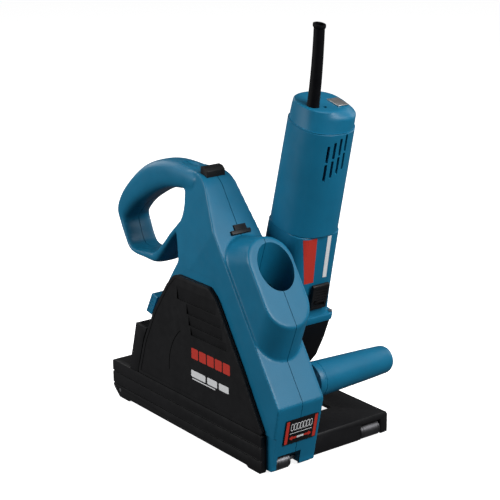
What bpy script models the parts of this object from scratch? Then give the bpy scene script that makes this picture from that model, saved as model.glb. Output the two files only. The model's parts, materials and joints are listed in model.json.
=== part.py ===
"""Wall chaser: a twin-disc slot cutter with a swing-down motor, built as separate solids.

All lengths below are millimetres; MM turns them into metres.  The design frame has X to the
right from the skirt's outer face, Y to the rear from the base's front edge and Z up from the
base's underside.  MACHINE_ORIGIN moves that frame so that the finished tool stands on z = 0
with its box centred on the origin.  The motor is modelled upright in its own tilted frame.
"""
import math

import bmesh
import bpy
from mathutils import Matrix, Vector

MM = 0.001
OBJECT_NAME = "wall_chaser"

# Driving dimensions, in millimetres.
GAP = 0.3
BASE_LENGTH = 262.0
BASE_WIDTH = 160.0
SKIRT_HEIGHT = 37.6
SKIRT_THICKNESS = 6.3
TRAY_HEIGHT = 22.0
TRAY_WALL = 3.5
DECK_FRONT = 217.0
ROLLER_RADIUS = 8.0
ROLLER_DROP = 2.3
AXLE_RADIUS = 2.0
GUARD_LEFT = 4.0
GUARD_RIGHT = 59.0
GUARD_WALL = 3.0
PARTING = 33.3
COVER_STEP = 5.5
PIVOT = (14.0, 72.0)
SPINDLE = (88.0, 82.0)
PLUNGE_ANGLE = 33.0
DISC_RADIUS = 75.0
DISC_THICKNESS = 2.4
MOTOR_X = 96.0
MOTOR_LEAN = 14.0
NECK_RADIUS = 21.8
SLEEVE_RADIUS = 31.6
SWITCH_U = 6.0
MACHINE_ORIGIN = (85.6, 124.27, -ROLLER_DROP)

# Base: rollers, their ribs, the opening the gear head swings through and the rear cheek.
ROLLER_Z = ROLLER_RADIUS - ROLLER_DROP
REAR_AXLE_Y = 249.5
FRONT_ROLLER_Y = 7.2
FRONT_LEFT_ROLLER_Y = 1.0
RIGHT_RIBS = (119.5, 152.0)
REAR_LEFT_RIBS = (9.5, 47.0)
FRONT_LEFT_RIBS = (8.6, 40.6)
RIB = 3.2
TRAY_LEFT = GUARD_RIGHT + 1.5
OPENING_RIGHT = 122.0
OPENING_FRONT = 42.0
OPENING_REAR = 150.0
CHEEK = (0.4, 3.7)

# Side view of the slope that carries the dust port: a foot point, a direction and a normal.
SLOPE_FOOT = Vector((1.4, 105.0))
SLOPE_DIR = Vector((0.5519, 0.8339))
SLOPE_OUT = Vector((-0.8339, 0.5519))
BOSS_HEIGHT = 33.0
PORT_RADIUS = 19.5
PORT_ALONG = 84.1
PORT_AXIS = Vector((-0.33, 0.944))
PORT_X = (GUARD_LEFT + GUARD_RIGHT) / 2 + 3.4

# Upper guard: the left side's lean, the shallow step round the cover, the handle and its button.
TAPER_TURN = math.radians(48.6)
TAPER_START = 203.0
TAPER_SLOPE = 0.2075
STEP_MARGIN = 9.0
STEP_DEPTH = 1.0
COVER_SLACK = 0.6
HANDLE_CENTRE = 32.6
HANDLE_HALF = 17.6
BUTTON_X = (21.5, 43.0)
BUTTON_Y = (110.5, 121.0)
BUTTON_FLOOR = 248.5
BUTTON_TOP = 273.5
BUTTON_TRAVEL = 5.0

# Louvre grooves in the side cover: bottom, top, front end and rear end of each.
LOUVRES = ((151.0, 153.5, 70.5, 134.0), (136.0, 138.5, 62.7, 118.5), (124.5, 127.0, 59.8, 116.0),
           (113.3, 115.8, 53.6, 113.0))

# Depth stop: a point on the guard's rear face, the way down it and the way out from it.
STOP_LINE = Vector((183.0, 119.0))
STOP_DIR = Vector((0.48, -0.877))
STOP_OUT = Vector((0.877, 0.48))

# Motor, along its own axis, and the drive to the discs.
LOCK_V = -12.0
LOCK_T = 24.0
SLEEVE_START = 140.3
SLEEVE_RIM = 248.0
SLEEVE_TOP = 268.0
VENT_ANGLES = (-22.0, -10.0, 2.0, 14.0)
BOOT_BASE = (-18.0, -5.0)
BOOT_LEAN = (-4.6, 5.0)
BOOT_RADIUS = 5.3
BOOT_BORE = 4.1
BOOT_START = 257.0
BOOT_TOP = 346.5
SPINDLE_END = 11.6
CROWN_TEETH = 33
PINION_TEETH = 11
CROWN_FACE = MOTOR_X - 7.6

PARTS = bpy.data.collections.new(OBJECT_NAME)
CUTTERS = bpy.data.collections.new("cutters")


# ---------------------------------------------------------------- scene and materials
def clear_scene():
    for item in list(bpy.data.objects):
        bpy.data.objects.remove(item, do_unlink=True)
    bpy.context.scene.collection.children.link(PARTS)
    bpy.context.scene.collection.children.link(CUTTERS)


def make_material(name, color, roughness, metallic=0.0):
    material = bpy.data.materials.new(name)
    material.use_nodes = True
    shader = material.node_tree.nodes["Principled BSDF"]
    shader.inputs["Base Color"].default_value = (*color, 1.0)
    shader.inputs["Roughness"].default_value = roughness
    shader.inputs["Metallic"].default_value = metallic
    material.diffuse_color = (*color, 1.0)
    return material


def make_frame(name, location, offset=(0.0, 0.0, 0.0), lean=0.0, parent=None):
    """An empty to hang parts on; offset is where it sits in the coordinates its parts use."""
    frame = bpy.data.objects.new(name, None)
    frame.empty_display_size = 0.02
    frame.location = Vector(location) * MM
    frame.rotation_euler = (math.radians(lean), 0.0, 0.0)
    frame.parent = parent
    frame["offset"] = offset
    PARTS.objects.link(frame)
    return frame


# ---------------------------------------------------------------- outlines (2D point lists)
def fillet(points, radii, steps=4):
    """Round each corner of a closed outline with an arc of the given radius."""
    if not isinstance(radii, (list, tuple)):
        radii = [radii] * len(points)
    outline = []
    for index, corner in enumerate(points):
        corner = Vector(corner)
        before = (Vector(points[index - 1]) - corner).normalized()
        after = (Vector(points[(index + 1) % len(points)]) - corner).normalized()
        radius = radii[index]
        half = before.angle(after) / 2
        if radius <= 0 or abs(half - math.pi / 2) < 0.01:
            outline.append(tuple(corner))
            continue
        reach = radius / math.tan(half)
        centre = corner + (before + after).normalized() * (radius / math.sin(half))
        start = corner + before * reach - centre
        end = corner + after * reach - centre
        for step in range(steps + 1):
            blend = start.lerp(end, step / steps).normalized() * radius
            outline.append(tuple(centre + blend))
    return outline


def circle(centre, radius, sides=32):
    turn = 2 * math.pi / sides
    return [(centre[0] + radius * math.cos(turn * k), centre[1] + radius * math.sin(turn * k))
            for k in range(sides)]


def arc_band(centre, radius, half_width, low, high, steps=14):
    """A curved slot: an arc of a circle with half-round ends, angles in degrees."""
    outline = []
    for k in range(steps + 1):
        angle = math.radians(low + (high - low) * k / steps)
        outline.append(polar(centre, radius + half_width, angle))
    outline += half_round(polar(centre, radius, math.radians(high)), half_width, high)
    for k in range(steps + 1):
        angle = math.radians(high + (low - high) * k / steps)
        outline.append(polar(centre, radius - half_width, angle))
    outline += half_round(polar(centre, radius, math.radians(low)), half_width, low + 180)
    return outline


def half_round(centre, radius, start, steps=8):
    return [polar(centre, radius, math.radians(start + 180 * k / steps)) for k in range(1, steps)]


def polar(centre, radius, angle):
    return (centre[0] + radius * math.cos(angle), centre[1] + radius * math.sin(angle))


def inset(points, distance):
    """Move every edge of a clockwise or anticlockwise outline inwards by a distance."""
    area = sum(a[0] * b[1] - b[0] * a[1] for a, b in zip(points, points[1:] + points[:1]))
    side = 1.0 if area > 0 else -1.0
    moved = []
    for index, corner in enumerate(points):
        corner = Vector(corner)
        first = (corner - Vector(points[index - 1])).normalized()
        second = (Vector(points[(index + 1) % len(points)]) - corner).normalized()
        normal = (Vector((-first.y, first.x)) + Vector((-second.y, second.x))) * side
        scale = distance / max(0.2, 1 + first.dot(second))
        moved.append(tuple(corner + normal * scale))
    return moved


# ---------------------------------------------------------------- meshes
def mesh_of(obj):
    """The evaluated mesh of a helper object, which is then removed."""
    graph = bpy.context.evaluated_depsgraph_get()
    mesh = bpy.data.meshes.new_from_object(obj.evaluated_get(graph))
    mesh.transform(obj.matrix_world)
    bpy.data.objects.remove(obj, do_unlink=True)
    return mesh


def flat_solid(outlines, low, high, axis="X"):
    """Extrude flat outlines along an axis: (y, z) along X, (x, z) along Y, (x, y) along Z."""
    curve = bpy.data.curves.new("outline", "CURVE")
    curve.dimensions = "2D"
    curve.fill_mode = "BOTH"
    curve.extrude = abs(high - low) / 2 * MM
    for outline in outlines:
        spline = curve.splines.new("POLY")
        spline.points.add(len(outline) - 1)
        spline.use_cyclic_u = True
        for point, place in zip(spline.points, outline):
            point.co = (place[0] * MM, place[1] * MM, 0.0, 1.0)
    obj = bpy.data.objects.new("outline", curve)
    CUTTERS.objects.link(obj)
    bpy.context.view_layer.update()
    mesh = mesh_of(obj)
    middle = (low + high) / 2 * MM
    rows = {"X": ((0, 0, 1), (1, 0, 0), (0, 1, 0)),
            "Y": ((1, 0, 0), (0, 0, -1), (0, 1, 0)),
            "Z": ((1, 0, 0), (0, 1, 0), (0, 0, 1))}[axis]
    turn = Matrix(rows).to_4x4()
    place = {"X": (middle, 0, 0), "Y": (0, middle, 0), "Z": (0, 0, middle)}[axis]
    mesh.transform(Matrix.Translation(place) @ turn)
    return weld(mesh)


def weld(mesh):
    model = bmesh.new()
    model.from_mesh(mesh)
    bmesh.ops.remove_doubles(model, verts=model.verts, dist=0.00001)
    bmesh.ops.recalc_face_normals(model, faces=model.faces)
    model.to_mesh(mesh)
    model.free()
    return mesh


def block(low, high):
    size = Vector(high) - Vector(low)
    centre = (Vector(high) + Vector(low)) / 2
    model = bmesh.new()
    place = Matrix.Translation(centre * MM) @ Matrix.Diagonal((*(size * MM), 1.0))
    bmesh.ops.create_cube(model, size=1.0, matrix=place)
    return finish_mesh(model)


def rod(start, end, radius, end_radius=None, sides=20):
    start = Vector(start) * MM
    end = Vector(end) * MM
    span = end - start
    turn = Vector((0, 0, 1)).rotation_difference(span).to_matrix().to_4x4()
    place = Matrix.Translation((start + end) / 2) @ turn
    far = radius if end_radius is None else end_radius
    model = bmesh.new()
    bmesh.ops.create_cone(model, cap_ends=True, segments=sides, radius1=radius * MM,
                          radius2=far * MM, depth=span.length, matrix=place)
    return finish_mesh(model)


def finish_mesh(model):
    bmesh.ops.recalc_face_normals(model, faces=model.faces)
    mesh = bpy.data.meshes.new("piece")
    model.to_mesh(mesh)
    model.free()
    return mesh


def loft(rings):
    """Skin a list of rings that all have the same number of points, and cap both ends."""
    model = bmesh.new()
    loops = [[model.verts.new(Vector(point) * MM) for point in ring] for ring in rings]
    count = len(loops[0])
    for lower, upper in zip(loops, loops[1:]):
        for k in range(count):
            follow = (k + 1) % count
            model.faces.new((lower[k], lower[follow], upper[follow], upper[k]))
    model.faces.new(list(reversed(loops[0])))
    model.faces.new(loops[-1])
    return finish_mesh(model)


def turned(profile, axis="Z", place=(0.0, 0.0, 0.0), sides=32):
    """Spin a profile of (radius, height) pairs; both ends on the axis, or a closed ring."""
    closed = profile[0][0] > 0 and profile[-1][0] > 0
    model = bmesh.new()
    verts = [model.verts.new((radius * MM, 0.0, height * MM)) for radius, height in profile]
    pairs = list(zip(verts, verts[1:] + verts[:1])) if closed else list(zip(verts, verts[1:]))
    for first, second in pairs:
        model.edges.new((first, second))
    mesh = bpy.data.meshes.new("profile")
    model.to_mesh(mesh)
    model.free()
    obj = bpy.data.objects.new("profile", mesh)
    CUTTERS.objects.link(obj)
    screw = obj.modifiers.new("turn", "SCREW")
    screw.steps = sides
    screw.render_steps = sides
    screw.use_merge_vertices = True
    screw.merge_threshold = 0.00001
    screw.use_normal_calculate = True
    bpy.context.view_layer.update()
    solid = weld(mesh_of(obj))
    if axis == "X":
        solid.transform(Matrix.Rotation(math.pi / 2, 4, "Y"))
    solid.transform(Matrix.Translation(Vector(place) * MM))
    return solid


def wire(points, radius, resolution=2):
    curve = bpy.data.curves.new("wire", "CURVE")
    curve.dimensions = "3D"
    curve.bevel_depth = radius * MM
    curve.bevel_resolution = resolution
    curve.use_fill_caps = True
    spline = curve.splines.new("POLY")
    spline.points.add(len(points) - 1)
    for point, place in zip(spline.points, points):
        point.co = (*(Vector(place) * MM), 1.0)
    obj = bpy.data.objects.new("wire", curve)
    CUTTERS.objects.link(obj)
    bpy.context.view_layer.update()
    return weld(mesh_of(obj))


# ---------------------------------------------------------------- objects
def part(name, mesh, material, frame, origin=(0.0, 0.0, 0.0), smooth=35.0):
    """Make one named piece whose origin sits at the given point of its frame."""
    mesh.transform(Matrix.Translation(Vector(origin) * -MM))
    mesh.name = name
    mesh.materials.clear()
    mesh.materials.append(material)
    mesh.shade_smooth()
    mesh.set_sharp_from_angle(angle=math.radians(smooth))
    obj = bpy.data.objects.new(name, mesh)
    obj.location = (Vector(origin) - Vector(frame["offset"])) * MM
    obj.parent = frame
    PARTS.objects.link(obj)
    return obj


def add_bevel(obj, width, segments=2):
    bevel = obj.modifiers.new("round", "BEVEL")
    bevel.width = width * MM
    bevel.segments = segments
    bevel.limit_method = "ANGLE"
    bevel.angle_limit = math.radians(40)


def tool(mesh, frame, name="cutter"):
    obj = bpy.data.objects.new(name, mesh)
    obj.location = Vector(frame["offset"]) * -MM
    obj.parent = frame
    obj.hide_render = True
    obj.display_type = "WIRE"
    CUTTERS.objects.link(obj)
    return obj


def boolean(target, mesh, frame, operation):
    modifier = target.modifiers.new(operation.lower(), "BOOLEAN")
    modifier.operation = operation
    modifier.solver = "EXACT"
    modifier.object = tool(mesh, frame)
    return modifier.object


def cut(target, mesh, frame):
    return boolean(target, mesh, frame, "DIFFERENCE")


def fuse(target, mesh, frame):
    return boolean(target, mesh, frame, "UNION")


# ---------------------------------------------------------------- base
def rail_outline():
    length = BASE_LENGTH
    corners = [(0, 0), (2, -2), (20, -2), (24, 0), (228, 0), (232, -2), (250, -2), (length, 8),
               (length, SKIRT_HEIGHT), (0, SKIRT_HEIGHT)]
    return fillet(corners, [0, 0, 0, 0, 0, 0, 3, 6, 2, 2], steps=3)


def base_plate(machine, black):
    rail = flat_solid([rail_outline()], 0.0, SKIRT_THICKNESS)
    plate = part("base_plate", rail, black, machine)
    for groove_z in (10.6, 24.4):
        cut(plate, block((-2, -2, groove_z), (1.3, BASE_LENGTH + 2, groove_z + 1.6)), machine)
    fuse(plate, block((3, DECK_FRONT, 0.5), (64, BASE_LENGTH - 0.4, SKIRT_HEIGHT - 0.4)), machine)
    tray = block((TRAY_LEFT, 0, 0), (BASE_WIDTH, BASE_LENGTH - 0.8, TRAY_HEIGHT))
    fuse(plate, chamfer_tray(tray), machine)
    cut(plate, block((6.6, 239.5, -5), (TRAY_LEFT, 258.8, 34)), machine)
    cut(plate, block((TRAY_LEFT + TRAY_WALL, TRAY_WALL, -5),
                     (BASE_WIDTH - TRAY_WALL, 258.0, TRAY_HEIGHT - TRAY_WALL)), machine)
    cut(plate, block((TRAY_LEFT - 2, OPENING_FRONT, -5), (OPENING_RIGHT, OPENING_REAR, 40)), machine)
    cut(plate, block((125, -5, -5), (151, 6, ROLLER_Z + ROLLER_RADIUS + 1.6)), machine)
    for left in RIGHT_RIBS:
        fuse(plate, roller_rib(left, 2.0, 16.5), machine)
        fuse(plate, roller_rib(left, 241.0, 259.5), machine)
    for left in REAR_LEFT_RIBS:
        fuse(plate, roller_rib(left, 238.0, 260.0, top=36.0), machine)
    for left, place in ((112, FRONT_ROLLER_Y), (-2, REAR_AXLE_Y)):
        cut(plate, rod((left, place, ROLLER_Z), (155.8, place, ROLLER_Z), AXLE_RADIUS + GAP,
                       sides=12), machine)
    return plate


def chamfer_tray(mesh):
    """Bevel the tray's long top edges and its outer corners."""
    model = bmesh.new()
    model.from_mesh(mesh)
    top = TRAY_HEIGHT * MM - 1e-5
    edges = [e for e in model.edges if all(v.co.z > top for v in e.verts)]
    bmesh.ops.bevel(model, geom=edges, offset=3.0 * MM, segments=2, profile=0.5, affect="EDGES")
    model.to_mesh(mesh)
    model.free()
    return mesh


def roller_rib(left, front, rear, top=TRAY_HEIGHT - 2.0):
    outline = fillet([(front, top), (rear, top), (rear, 0.6), (front, 0.6)], [0, 0, 3, 3], steps=2)
    return flat_solid([outline], left, left + RIB)


def roller(name, machine, rubber, left, right, y):
    """A plain roller with rounded rims and a through hole, turned about the X axis."""
    edge = 1.2
    half = (right - left) / 2
    bore = AXLE_RADIUS + GAP
    profile = [(bore, -half), (ROLLER_RADIUS - edge, -half), (ROLLER_RADIUS, -half + edge),
               (ROLLER_RADIUS, half - edge), (ROLLER_RADIUS - edge, half), (bore, half)]
    centre = ((left + right) / 2, y, ROLLER_Z)
    return part(name, turned(profile, "X", centre, sides=18), rubber, machine, origin=centre)


def axle(name, machine, steel, left, right, y):
    mesh = rod((left, y, ROLLER_Z), (right, y, ROLLER_Z), AXLE_RADIUS, sides=12)
    return part(name, mesh, steel, machine)


def rear_upstand(machine, black):
    """The box behind the guard, hollow towards it, with a cheek that meets the side cover."""
    side = [(217, 91), (232.5, SKIRT_HEIGHT + GAP), (217.2, SKIRT_HEIGHT + GAP), (205.5, 82.5)]
    obj = part("rear_upstand", flat_solid([side], CHEEK[1] - 0.7, 56.0), black, machine)
    cheek = [(213.3, 92.6), (228.2, SKIRT_HEIGHT + GAP), (212.8, SKIRT_HEIGHT + GAP), (207.5, 56),
             (199.9, 79), (193.5, 91.5)]
    fuse(obj, flat_solid([cheek], *CHEEK), machine)
    hollow = [(190, 79), (215.4, 85), (228.4, SKIRT_HEIGHT + 3.5), (190, SKIRT_HEIGHT + 3.5)]
    cut(obj, flat_solid([hollow], GUARD_LEFT + 3, 53.0), machine)
    return obj


# ---------------------------------------------------------------- guard
COVER_CORNERS = [(211.5, 38.4), (198.0, 78.5), (177.5, 117.0), (153.8, 149.5), (139.5, 163.6),
                 (82.0, 163.6), (70.4, 154.5), (31.7, 94.8), (-2.0, 38.4)]
COVER_RADII = [2, 90, 90, 14, 14, 10, 30, 200, 2]


def cover_outline(distance=0.0, steps=3):
    corners = inset(COVER_CORNERS, distance) if distance else COVER_CORNERS
    radii = [max(1.0, radius - distance) for radius in COVER_RADII]
    return fillet(corners, radii, steps)


def slope_point(along, height=0.0):
    place = SLOPE_FOOT + SLOPE_DIR * along + SLOPE_OUT * height
    return (place.x, place.y)


def body_outline():
    """Side view of the guard without its handle and dust port, starting at the foot."""
    ridge = slope_point(-42.5)
    crown = slope_point(191.0)
    corners = [(-8, 1), (-8, 6), ridge, crown, (124, 267), (148, 267), (146, 243), (144.2, 230),
               (147, 218), (158, 203), (152, 190), (145, 174), (160, 153), (183, 119),
               (203.5, 81.5), (214.5, 40), (216, 24), (216, 1)]
    radii = [1, 1, 3, 24, 20, 3, 4, 10, 14, 1, 2, 1, 8, 60, 60, 8, 2, 2]
    return fillet(corners, radii)


def cavity_outline():
    lower = slope_point(-39.0, -GUARD_WALL)
    upper = slope_point(112.0, -GUARD_WALL)
    corners = [(-5, -10), (-5, 6), lower, upper, (116, 194), (139.5, 173), (156, 150),
               (179.5, 118), (199.5, 81), (210.8, 40), (212.5, -10)]
    return fillet(corners, [0, 2, 3, 20, 20, 12, 8, 60, 60, 8, 0], steps=3)


def handle_stations():
    """Pairs of outer and inner points of the D-handle's side view, front to rear and back."""
    return [((120, 265.5), (130, 246)), ((139, 268), (141, 245.5)), ((160, 269.5), (154, 243.5)),
            ((183, 268.5), (175.6, 240.3)), ((203, 264), (195, 233.5)), ((222, 256), (213, 224.5)),
            ((242, 241.5), (233, 212.5)), ((261, 223), (247.5, 200)), ((270.5, 204.5), (253, 192)),
            ((265, 190), (249.5, 181.5)), ((256.5, 175.5), (246, 173)), ((248.5, 163.5), (241, 167)),
            ((238, 158.5), (232, 165)), ((218, 157.5), (217, 167)), ((197, 157.5), (203.5, 169)),
            ((185.5, 168), (191.5, 177)), ((173.5, 181), (180, 187.5)), ((160, 195.5), (167, 201)),
            ((146, 207), (153, 214))]


def handle_ring(outer, inner, half_width, centre, sides=16, power=2.9):
    """A rounded-square section between two points of the side view."""
    outer = Vector(outer)
    inner = Vector(inner)
    middle = (outer + inner) / 2
    reach = (outer - inner) / 2
    ring = []
    for k in range(sides):
        angle = 2 * math.pi * (k + 0.5) / sides
        across = rounded(math.cos(angle), power) * half_width
        depth = rounded(math.sin(angle), power)
        place = middle + reach * depth
        ring.append((centre + across, place.x, place.y))
    return ring


def rounded(value, power):
    return math.copysign(abs(value) ** (2.0 / power), value)


def handle_mesh():
    return loft([handle_ring(outer, inner, HANDLE_HALF, HANDLE_CENTRE)
                 for outer, inner in handle_stations()])


def racetrack(left, right, low, high, height, steps=9):
    """An oblong ring on a plane parallel to the slope: across is x, along runs up the slope."""
    radius = (right - left) / 2
    middle = (left + right) / 2
    ring = []
    for centre, start in ((high - radius, 0.0), (low + radius, math.pi)):
        for k in range(steps + 1):
            angle = start + math.pi * k / steps
            y, z = slope_point(centre + radius * math.sin(angle), height)
            ring.append((middle + radius * math.cos(angle), y, z))
    return ring


def boss_mesh():
    return loft([racetrack(6.3, 58.9, -3.0, 131.0, -6.0), racetrack(6.4, 58.8, 1.0, 128.0, 0.5),
                 racetrack(7.0, 58.2, 23.6, 114.7, BOSS_HEIGHT)])


def port_cutter():
    """The dust port's bore: a round hole that leans 19 degrees forward of vertical."""
    mouth = Vector(slope_point(PORT_ALONG, BOSS_HEIGHT))
    top = mouth + PORT_AXIS * 40
    foot = mouth - PORT_AXIS * 68
    return rod((PORT_X, foot.x, foot.y), (PORT_X, top.x, top.y), PORT_RADIUS, sides=32)


def side_taper(sign):
    """A wedge that leans one side of the upper guard inwards, the left one towards the handle."""
    if sign > 0:
        outline = [(GUARD_RIGHT, 200), (GUARD_RIGHT + 9, 200), (GUARD_RIGHT + 9, 282),
                   (GUARD_RIGHT - 12, 282)]
        return flat_solid([outline], -60.0, 300.0, "Y")
    far = TAPER_START + 110.0
    outline = [(GUARD_LEFT - 9, TAPER_START), (GUARD_LEFT, TAPER_START),
               (GUARD_LEFT + 110.0 * TAPER_SLOPE, far), (GUARD_LEFT - 9, far)]
    wedge = flat_solid([outline], -260.0, 260.0, "Y")
    wedge.transform(Matrix.Rotation(-TAPER_TURN, 4, "X"))
    return wedge


def neck_slot():
    high = math.degrees(math.atan2(SPINDLE[1] - PIVOT[1], SPINDLE[0] - PIVOT[0]))
    radius = math.dist(PIVOT, SPINDLE)
    return flat_solid([arc_band(PIVOT, radius, NECK_RADIUS + 1.2, high - PLUNGE_ANGLE, high)],
                      GUARD_RIGHT - GUARD_WALL - 4, GUARD_RIGHT + 4)


def guard_shell(name, side, machine, blue):
    """One half of the blue guard: body, handle and dust port, hollowed and parted."""
    body = flat_solid([body_outline()], GUARD_LEFT, GUARD_RIGHT)
    shell = part(name, body, blue, machine, smooth=30.0)
    add_bevel(shell, 2.2)
    cut(shell, side_taper(side), machine)
    fuse(shell, handle_mesh(), machine)
    fuse(shell, boss_mesh(), machine)
    cut(shell, flat_solid([cavity_outline()], GUARD_LEFT + COVER_STEP, GUARD_RIGHT - GUARD_WALL),
        machine)
    cut(shell, port_cutter(), machine)
    cut(shell, block((12, -20, -10), (40, 4, ROLLER_Z + ROLLER_RADIUS + 3)), machine)
    cut(shell, block((-5, -60, -10), (SKIRT_THICKNESS + 0.5, 300, SKIRT_HEIGHT + 0.5)), machine)
    if side < 0:
        cut(shell, flat_solid([cover_outline(-STEP_MARGIN)], -5.0, GUARD_LEFT + STEP_DEPTH), machine)
        cut(shell, flat_solid([cover_outline(-COVER_SLACK)], -5.0, COVER_STEP + 0.1), machine)
        cut(shell, flat_solid([cover_outline(13.0)], -5.0, GUARD_LEFT + 12), machine)
        front_roller_rib(shell, machine, FRONT_LEFT_RIBS[0])
        cut(shell, block((PARTING - GAP / 2, -60, -60), (99, 400, 400)), machine)
    else:
        cut(shell, neck_slot(), machine)
        cut(shell, rod((50, *PIVOT), (64, *PIVOT), 6.3, sides=20), machine)
        front_roller_rib(shell, machine, FRONT_LEFT_RIBS[1])
        cut(shell, block((-40, -60, -60), (PARTING + GAP / 2, 400, 400)), machine)
    cut_button_seat(shell, machine)
    cut_clip_seat(shell, machine)
    return shell


def front_roller_rib(shell, machine, left):
    outline = [(-6.5, 2), (10, 2), (10, 10), (6, 19), (-9.5, 19)]
    fuse(shell, flat_solid([outline], left, left + RIB), machine)
    y = FRONT_LEFT_ROLLER_Y
    cut(shell, rod((7.5, y, ROLLER_Z), (44, y, ROLLER_Z), AXLE_RADIUS + GAP, sides=12), machine)


def cut_button_seat(shell, machine):
    seat = block((BUTTON_X[0] - 0.6, BUTTON_Y[0] - 0.6, BUTTON_FLOOR),
                 (BUTTON_X[1] + 0.6, BUTTON_Y[1] + 0.6, 300))
    cut(shell, seat, machine)


def clip_mesh(extra):
    """The T-shaped clip that locks the shells together at the head of the port's roof."""
    wide = tilted_block((22.6 - extra, 45.2 + extra), (130.2 - extra, 134.2 + extra), (-6, 2.4))
    slim = tilted_block((28.0 - extra, 42.0 + extra), (133.0, 139.8 + extra), (-6, 1.6))
    return wide, slim


def tilted_block(across, along, height):
    """A box set on the slope: x range, range along the slope and range above it."""
    corners = [slope_point(along[0], height[0]), slope_point(along[1], height[0]),
               slope_point(along[1], height[1]), slope_point(along[0], height[1])]
    return flat_solid([corners], across[0], across[1])


def cut_clip_seat(shell, machine):
    for piece in clip_mesh(GAP):
        cut(shell, piece, machine)


def shell_clip(machine, black):
    wide, slim = clip_mesh(0.0)
    obj = part("shell_clip", wide, black, machine)
    fuse(obj, slim, machine)
    return obj


def side_cover(machine, black):
    obj = part("side_cover", flat_solid([cover_outline()], 0.0, COVER_STEP - GAP), black, machine)
    add_bevel(obj, 1.2, segments=1)
    cut(obj, flat_solid([cover_outline(3.0)], 2.6, COVER_STEP + 4), machine)
    for low, high, front, rear in LOUVRES:
        cut(obj, block((-2, front, low), (1.3, rear, high)), machine)
    return obj


def label_plate(machine, plate):
    """A thin plate on the undercut front face, tilted with it."""
    foot = Vector((-8.0, 6.0))
    up = (Vector(slope_point(-42.5)) - foot).normalized()
    out = Vector((-up.y, up.x))
    low = foot + up * 23.0 + out * GAP
    corners = [low, low + up * 27.0, low + up * 27.0 + out * 0.8, low + out * 0.8]
    return part("label_plate", flat_solid([corners], 15.5, 54.5), plate, machine)


def stop_point(along, out):
    place = STOP_LINE + STOP_DIR * along + STOP_OUT * out
    return (place.x, place.y)


def depth_stop_rail(machine, steel):
    side = [stop_point(-13, 0.7), stop_point(41, 0.7), stop_point(41, 5.0), stop_point(-13, 5.0)]
    rail = part("depth_stop_rail", flat_solid([side], 14.0, 30.0), steel, machine)
    for along in range(-9, 40, 4):
        notch = [stop_point(along, 4.2), stop_point(along + 1.2, 4.2), stop_point(along + 1.2, 7),
                 stop_point(along, 7)]
        cut(rail, flat_solid([notch], 12.0, 32.0), machine)
    return rail


def depth_stop_slider(machine, blue):
    side = [stop_point(-4, 5.5), stop_point(22, 5.5), stop_point(25, 15.5), stop_point(-1, 15.5)]
    origin = (22.0, *stop_point(10, 10))
    slider = part("depth_stop_slider", flat_solid([side], 10.0, 34.0), blue, machine, origin)
    add_bevel(slider, 0.8, segments=1)
    for along in range(1, 22, 4):
        groove = [stop_point(along, 7), stop_point(along + 1.6, 7), stop_point(along + 3.4, 14),
                  stop_point(along + 1.8, 14)]
        cut(slider, flat_solid([groove], 8.0, 10.8), machine)
    return slider


def unlock_button(machine, black):
    low = BUTTON_FLOOR + BUTTON_TRAVEL + 1.0
    side = fillet([(BUTTON_Y[0], low), (BUTTON_Y[0], BUTTON_TOP - 4.0),
                   (BUTTON_Y[0] + 3.5, BUTTON_TOP - 1.0), (BUTTON_Y[1], BUTTON_TOP),
                   (BUTTON_Y[1], low)], [0, 1.5, 3, 1.5, 0])
    centre = ((BUTTON_X[0] + BUTTON_X[1]) / 2, (BUTTON_Y[0] + BUTTON_Y[1]) / 2, low)
    button = part("unlock_button", flat_solid([side], *BUTTON_X), black, machine, centre)
    add_bevel(button, 0.8, segments=1)
    return button


def coil(turns, radius, rise, steps):
    count = turns * steps
    return [(radius * math.cos(2 * math.pi * k / steps), radius * math.sin(2 * math.pi * k / steps),
             rise * k / count) for k in range(count + 1)]


def auxiliary_handle(machine, blue):
    profile = [(0, 171.2), (8, 170.8), (12.4, 168.4), (14.2, 163), (15.4, 140), (16.6, 108),
               (17.7, 78), (17.7, 72), (16.8, 71.2), (6.3, 71.2), (6.3, 98), (0, 98)]
    mesh = turned(profile, "X", (0, *PIVOT), sides=22)
    return part("auxiliary_handle", mesh, blue, machine)


def pivot_bolt(machine, steel):
    profile = [(0, 97), (5.2, 97), (5.9, 96), (5.9, 55.4), (10.5, 55.4), (10.5, 50), (0, 50)]
    return part("pivot_bolt", turned(profile, "X", (0, *PIVOT), sides=20), steel, machine)


def screw_mesh(place, direction, radius=3.4, height=2.0, sides=8):
    """A cap-screw head with a socket."""
    socket = radius * 0.5
    profile = [(0, height * 0.4), (socket, height * 0.4), (socket, height), (radius, height),
               (radius, 0), (0, 0)]
    mesh = turned(profile, "Z", sides=sides)
    turn = Vector((0, 0, 1)).rotation_difference(Vector(direction)).to_matrix().to_4x4()
    mesh.transform(Matrix.Translation(Vector(place) * MM) @ turn)
    return mesh


def shell_screws(machine, steel):
    places = [(-9, 56), (54, 178), (150, 158)]
    for number, (y, z) in enumerate(places, start=1):
        head = screw_mesh((GUARD_RIGHT + GAP, y, z), (1, 0, 0))
        part(f"shell_screw_{number}", head, steel, machine)


# ---------------------------------------------------------------- swing unit
def hull(points):
    """Convex hull of 2D points, anticlockwise."""
    points = sorted(points)
    lower = []
    for place in points:
        while len(lower) > 1 and turn_of(lower[-2], lower[-1], place) <= 1e-6:
            lower.pop()
        lower.append(place)
    upper = []
    for place in reversed(points):
        while len(upper) > 1 and turn_of(upper[-2], upper[-1], place) <= 1e-6:
            upper.pop()
        upper.append(place)
    return lower[:-1] + upper[:-1]


def turn_of(a, b, c):
    return (b[0] - a[0]) * (c[1] - a[1]) - (b[1] - a[1]) * (c[0] - a[0])


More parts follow.
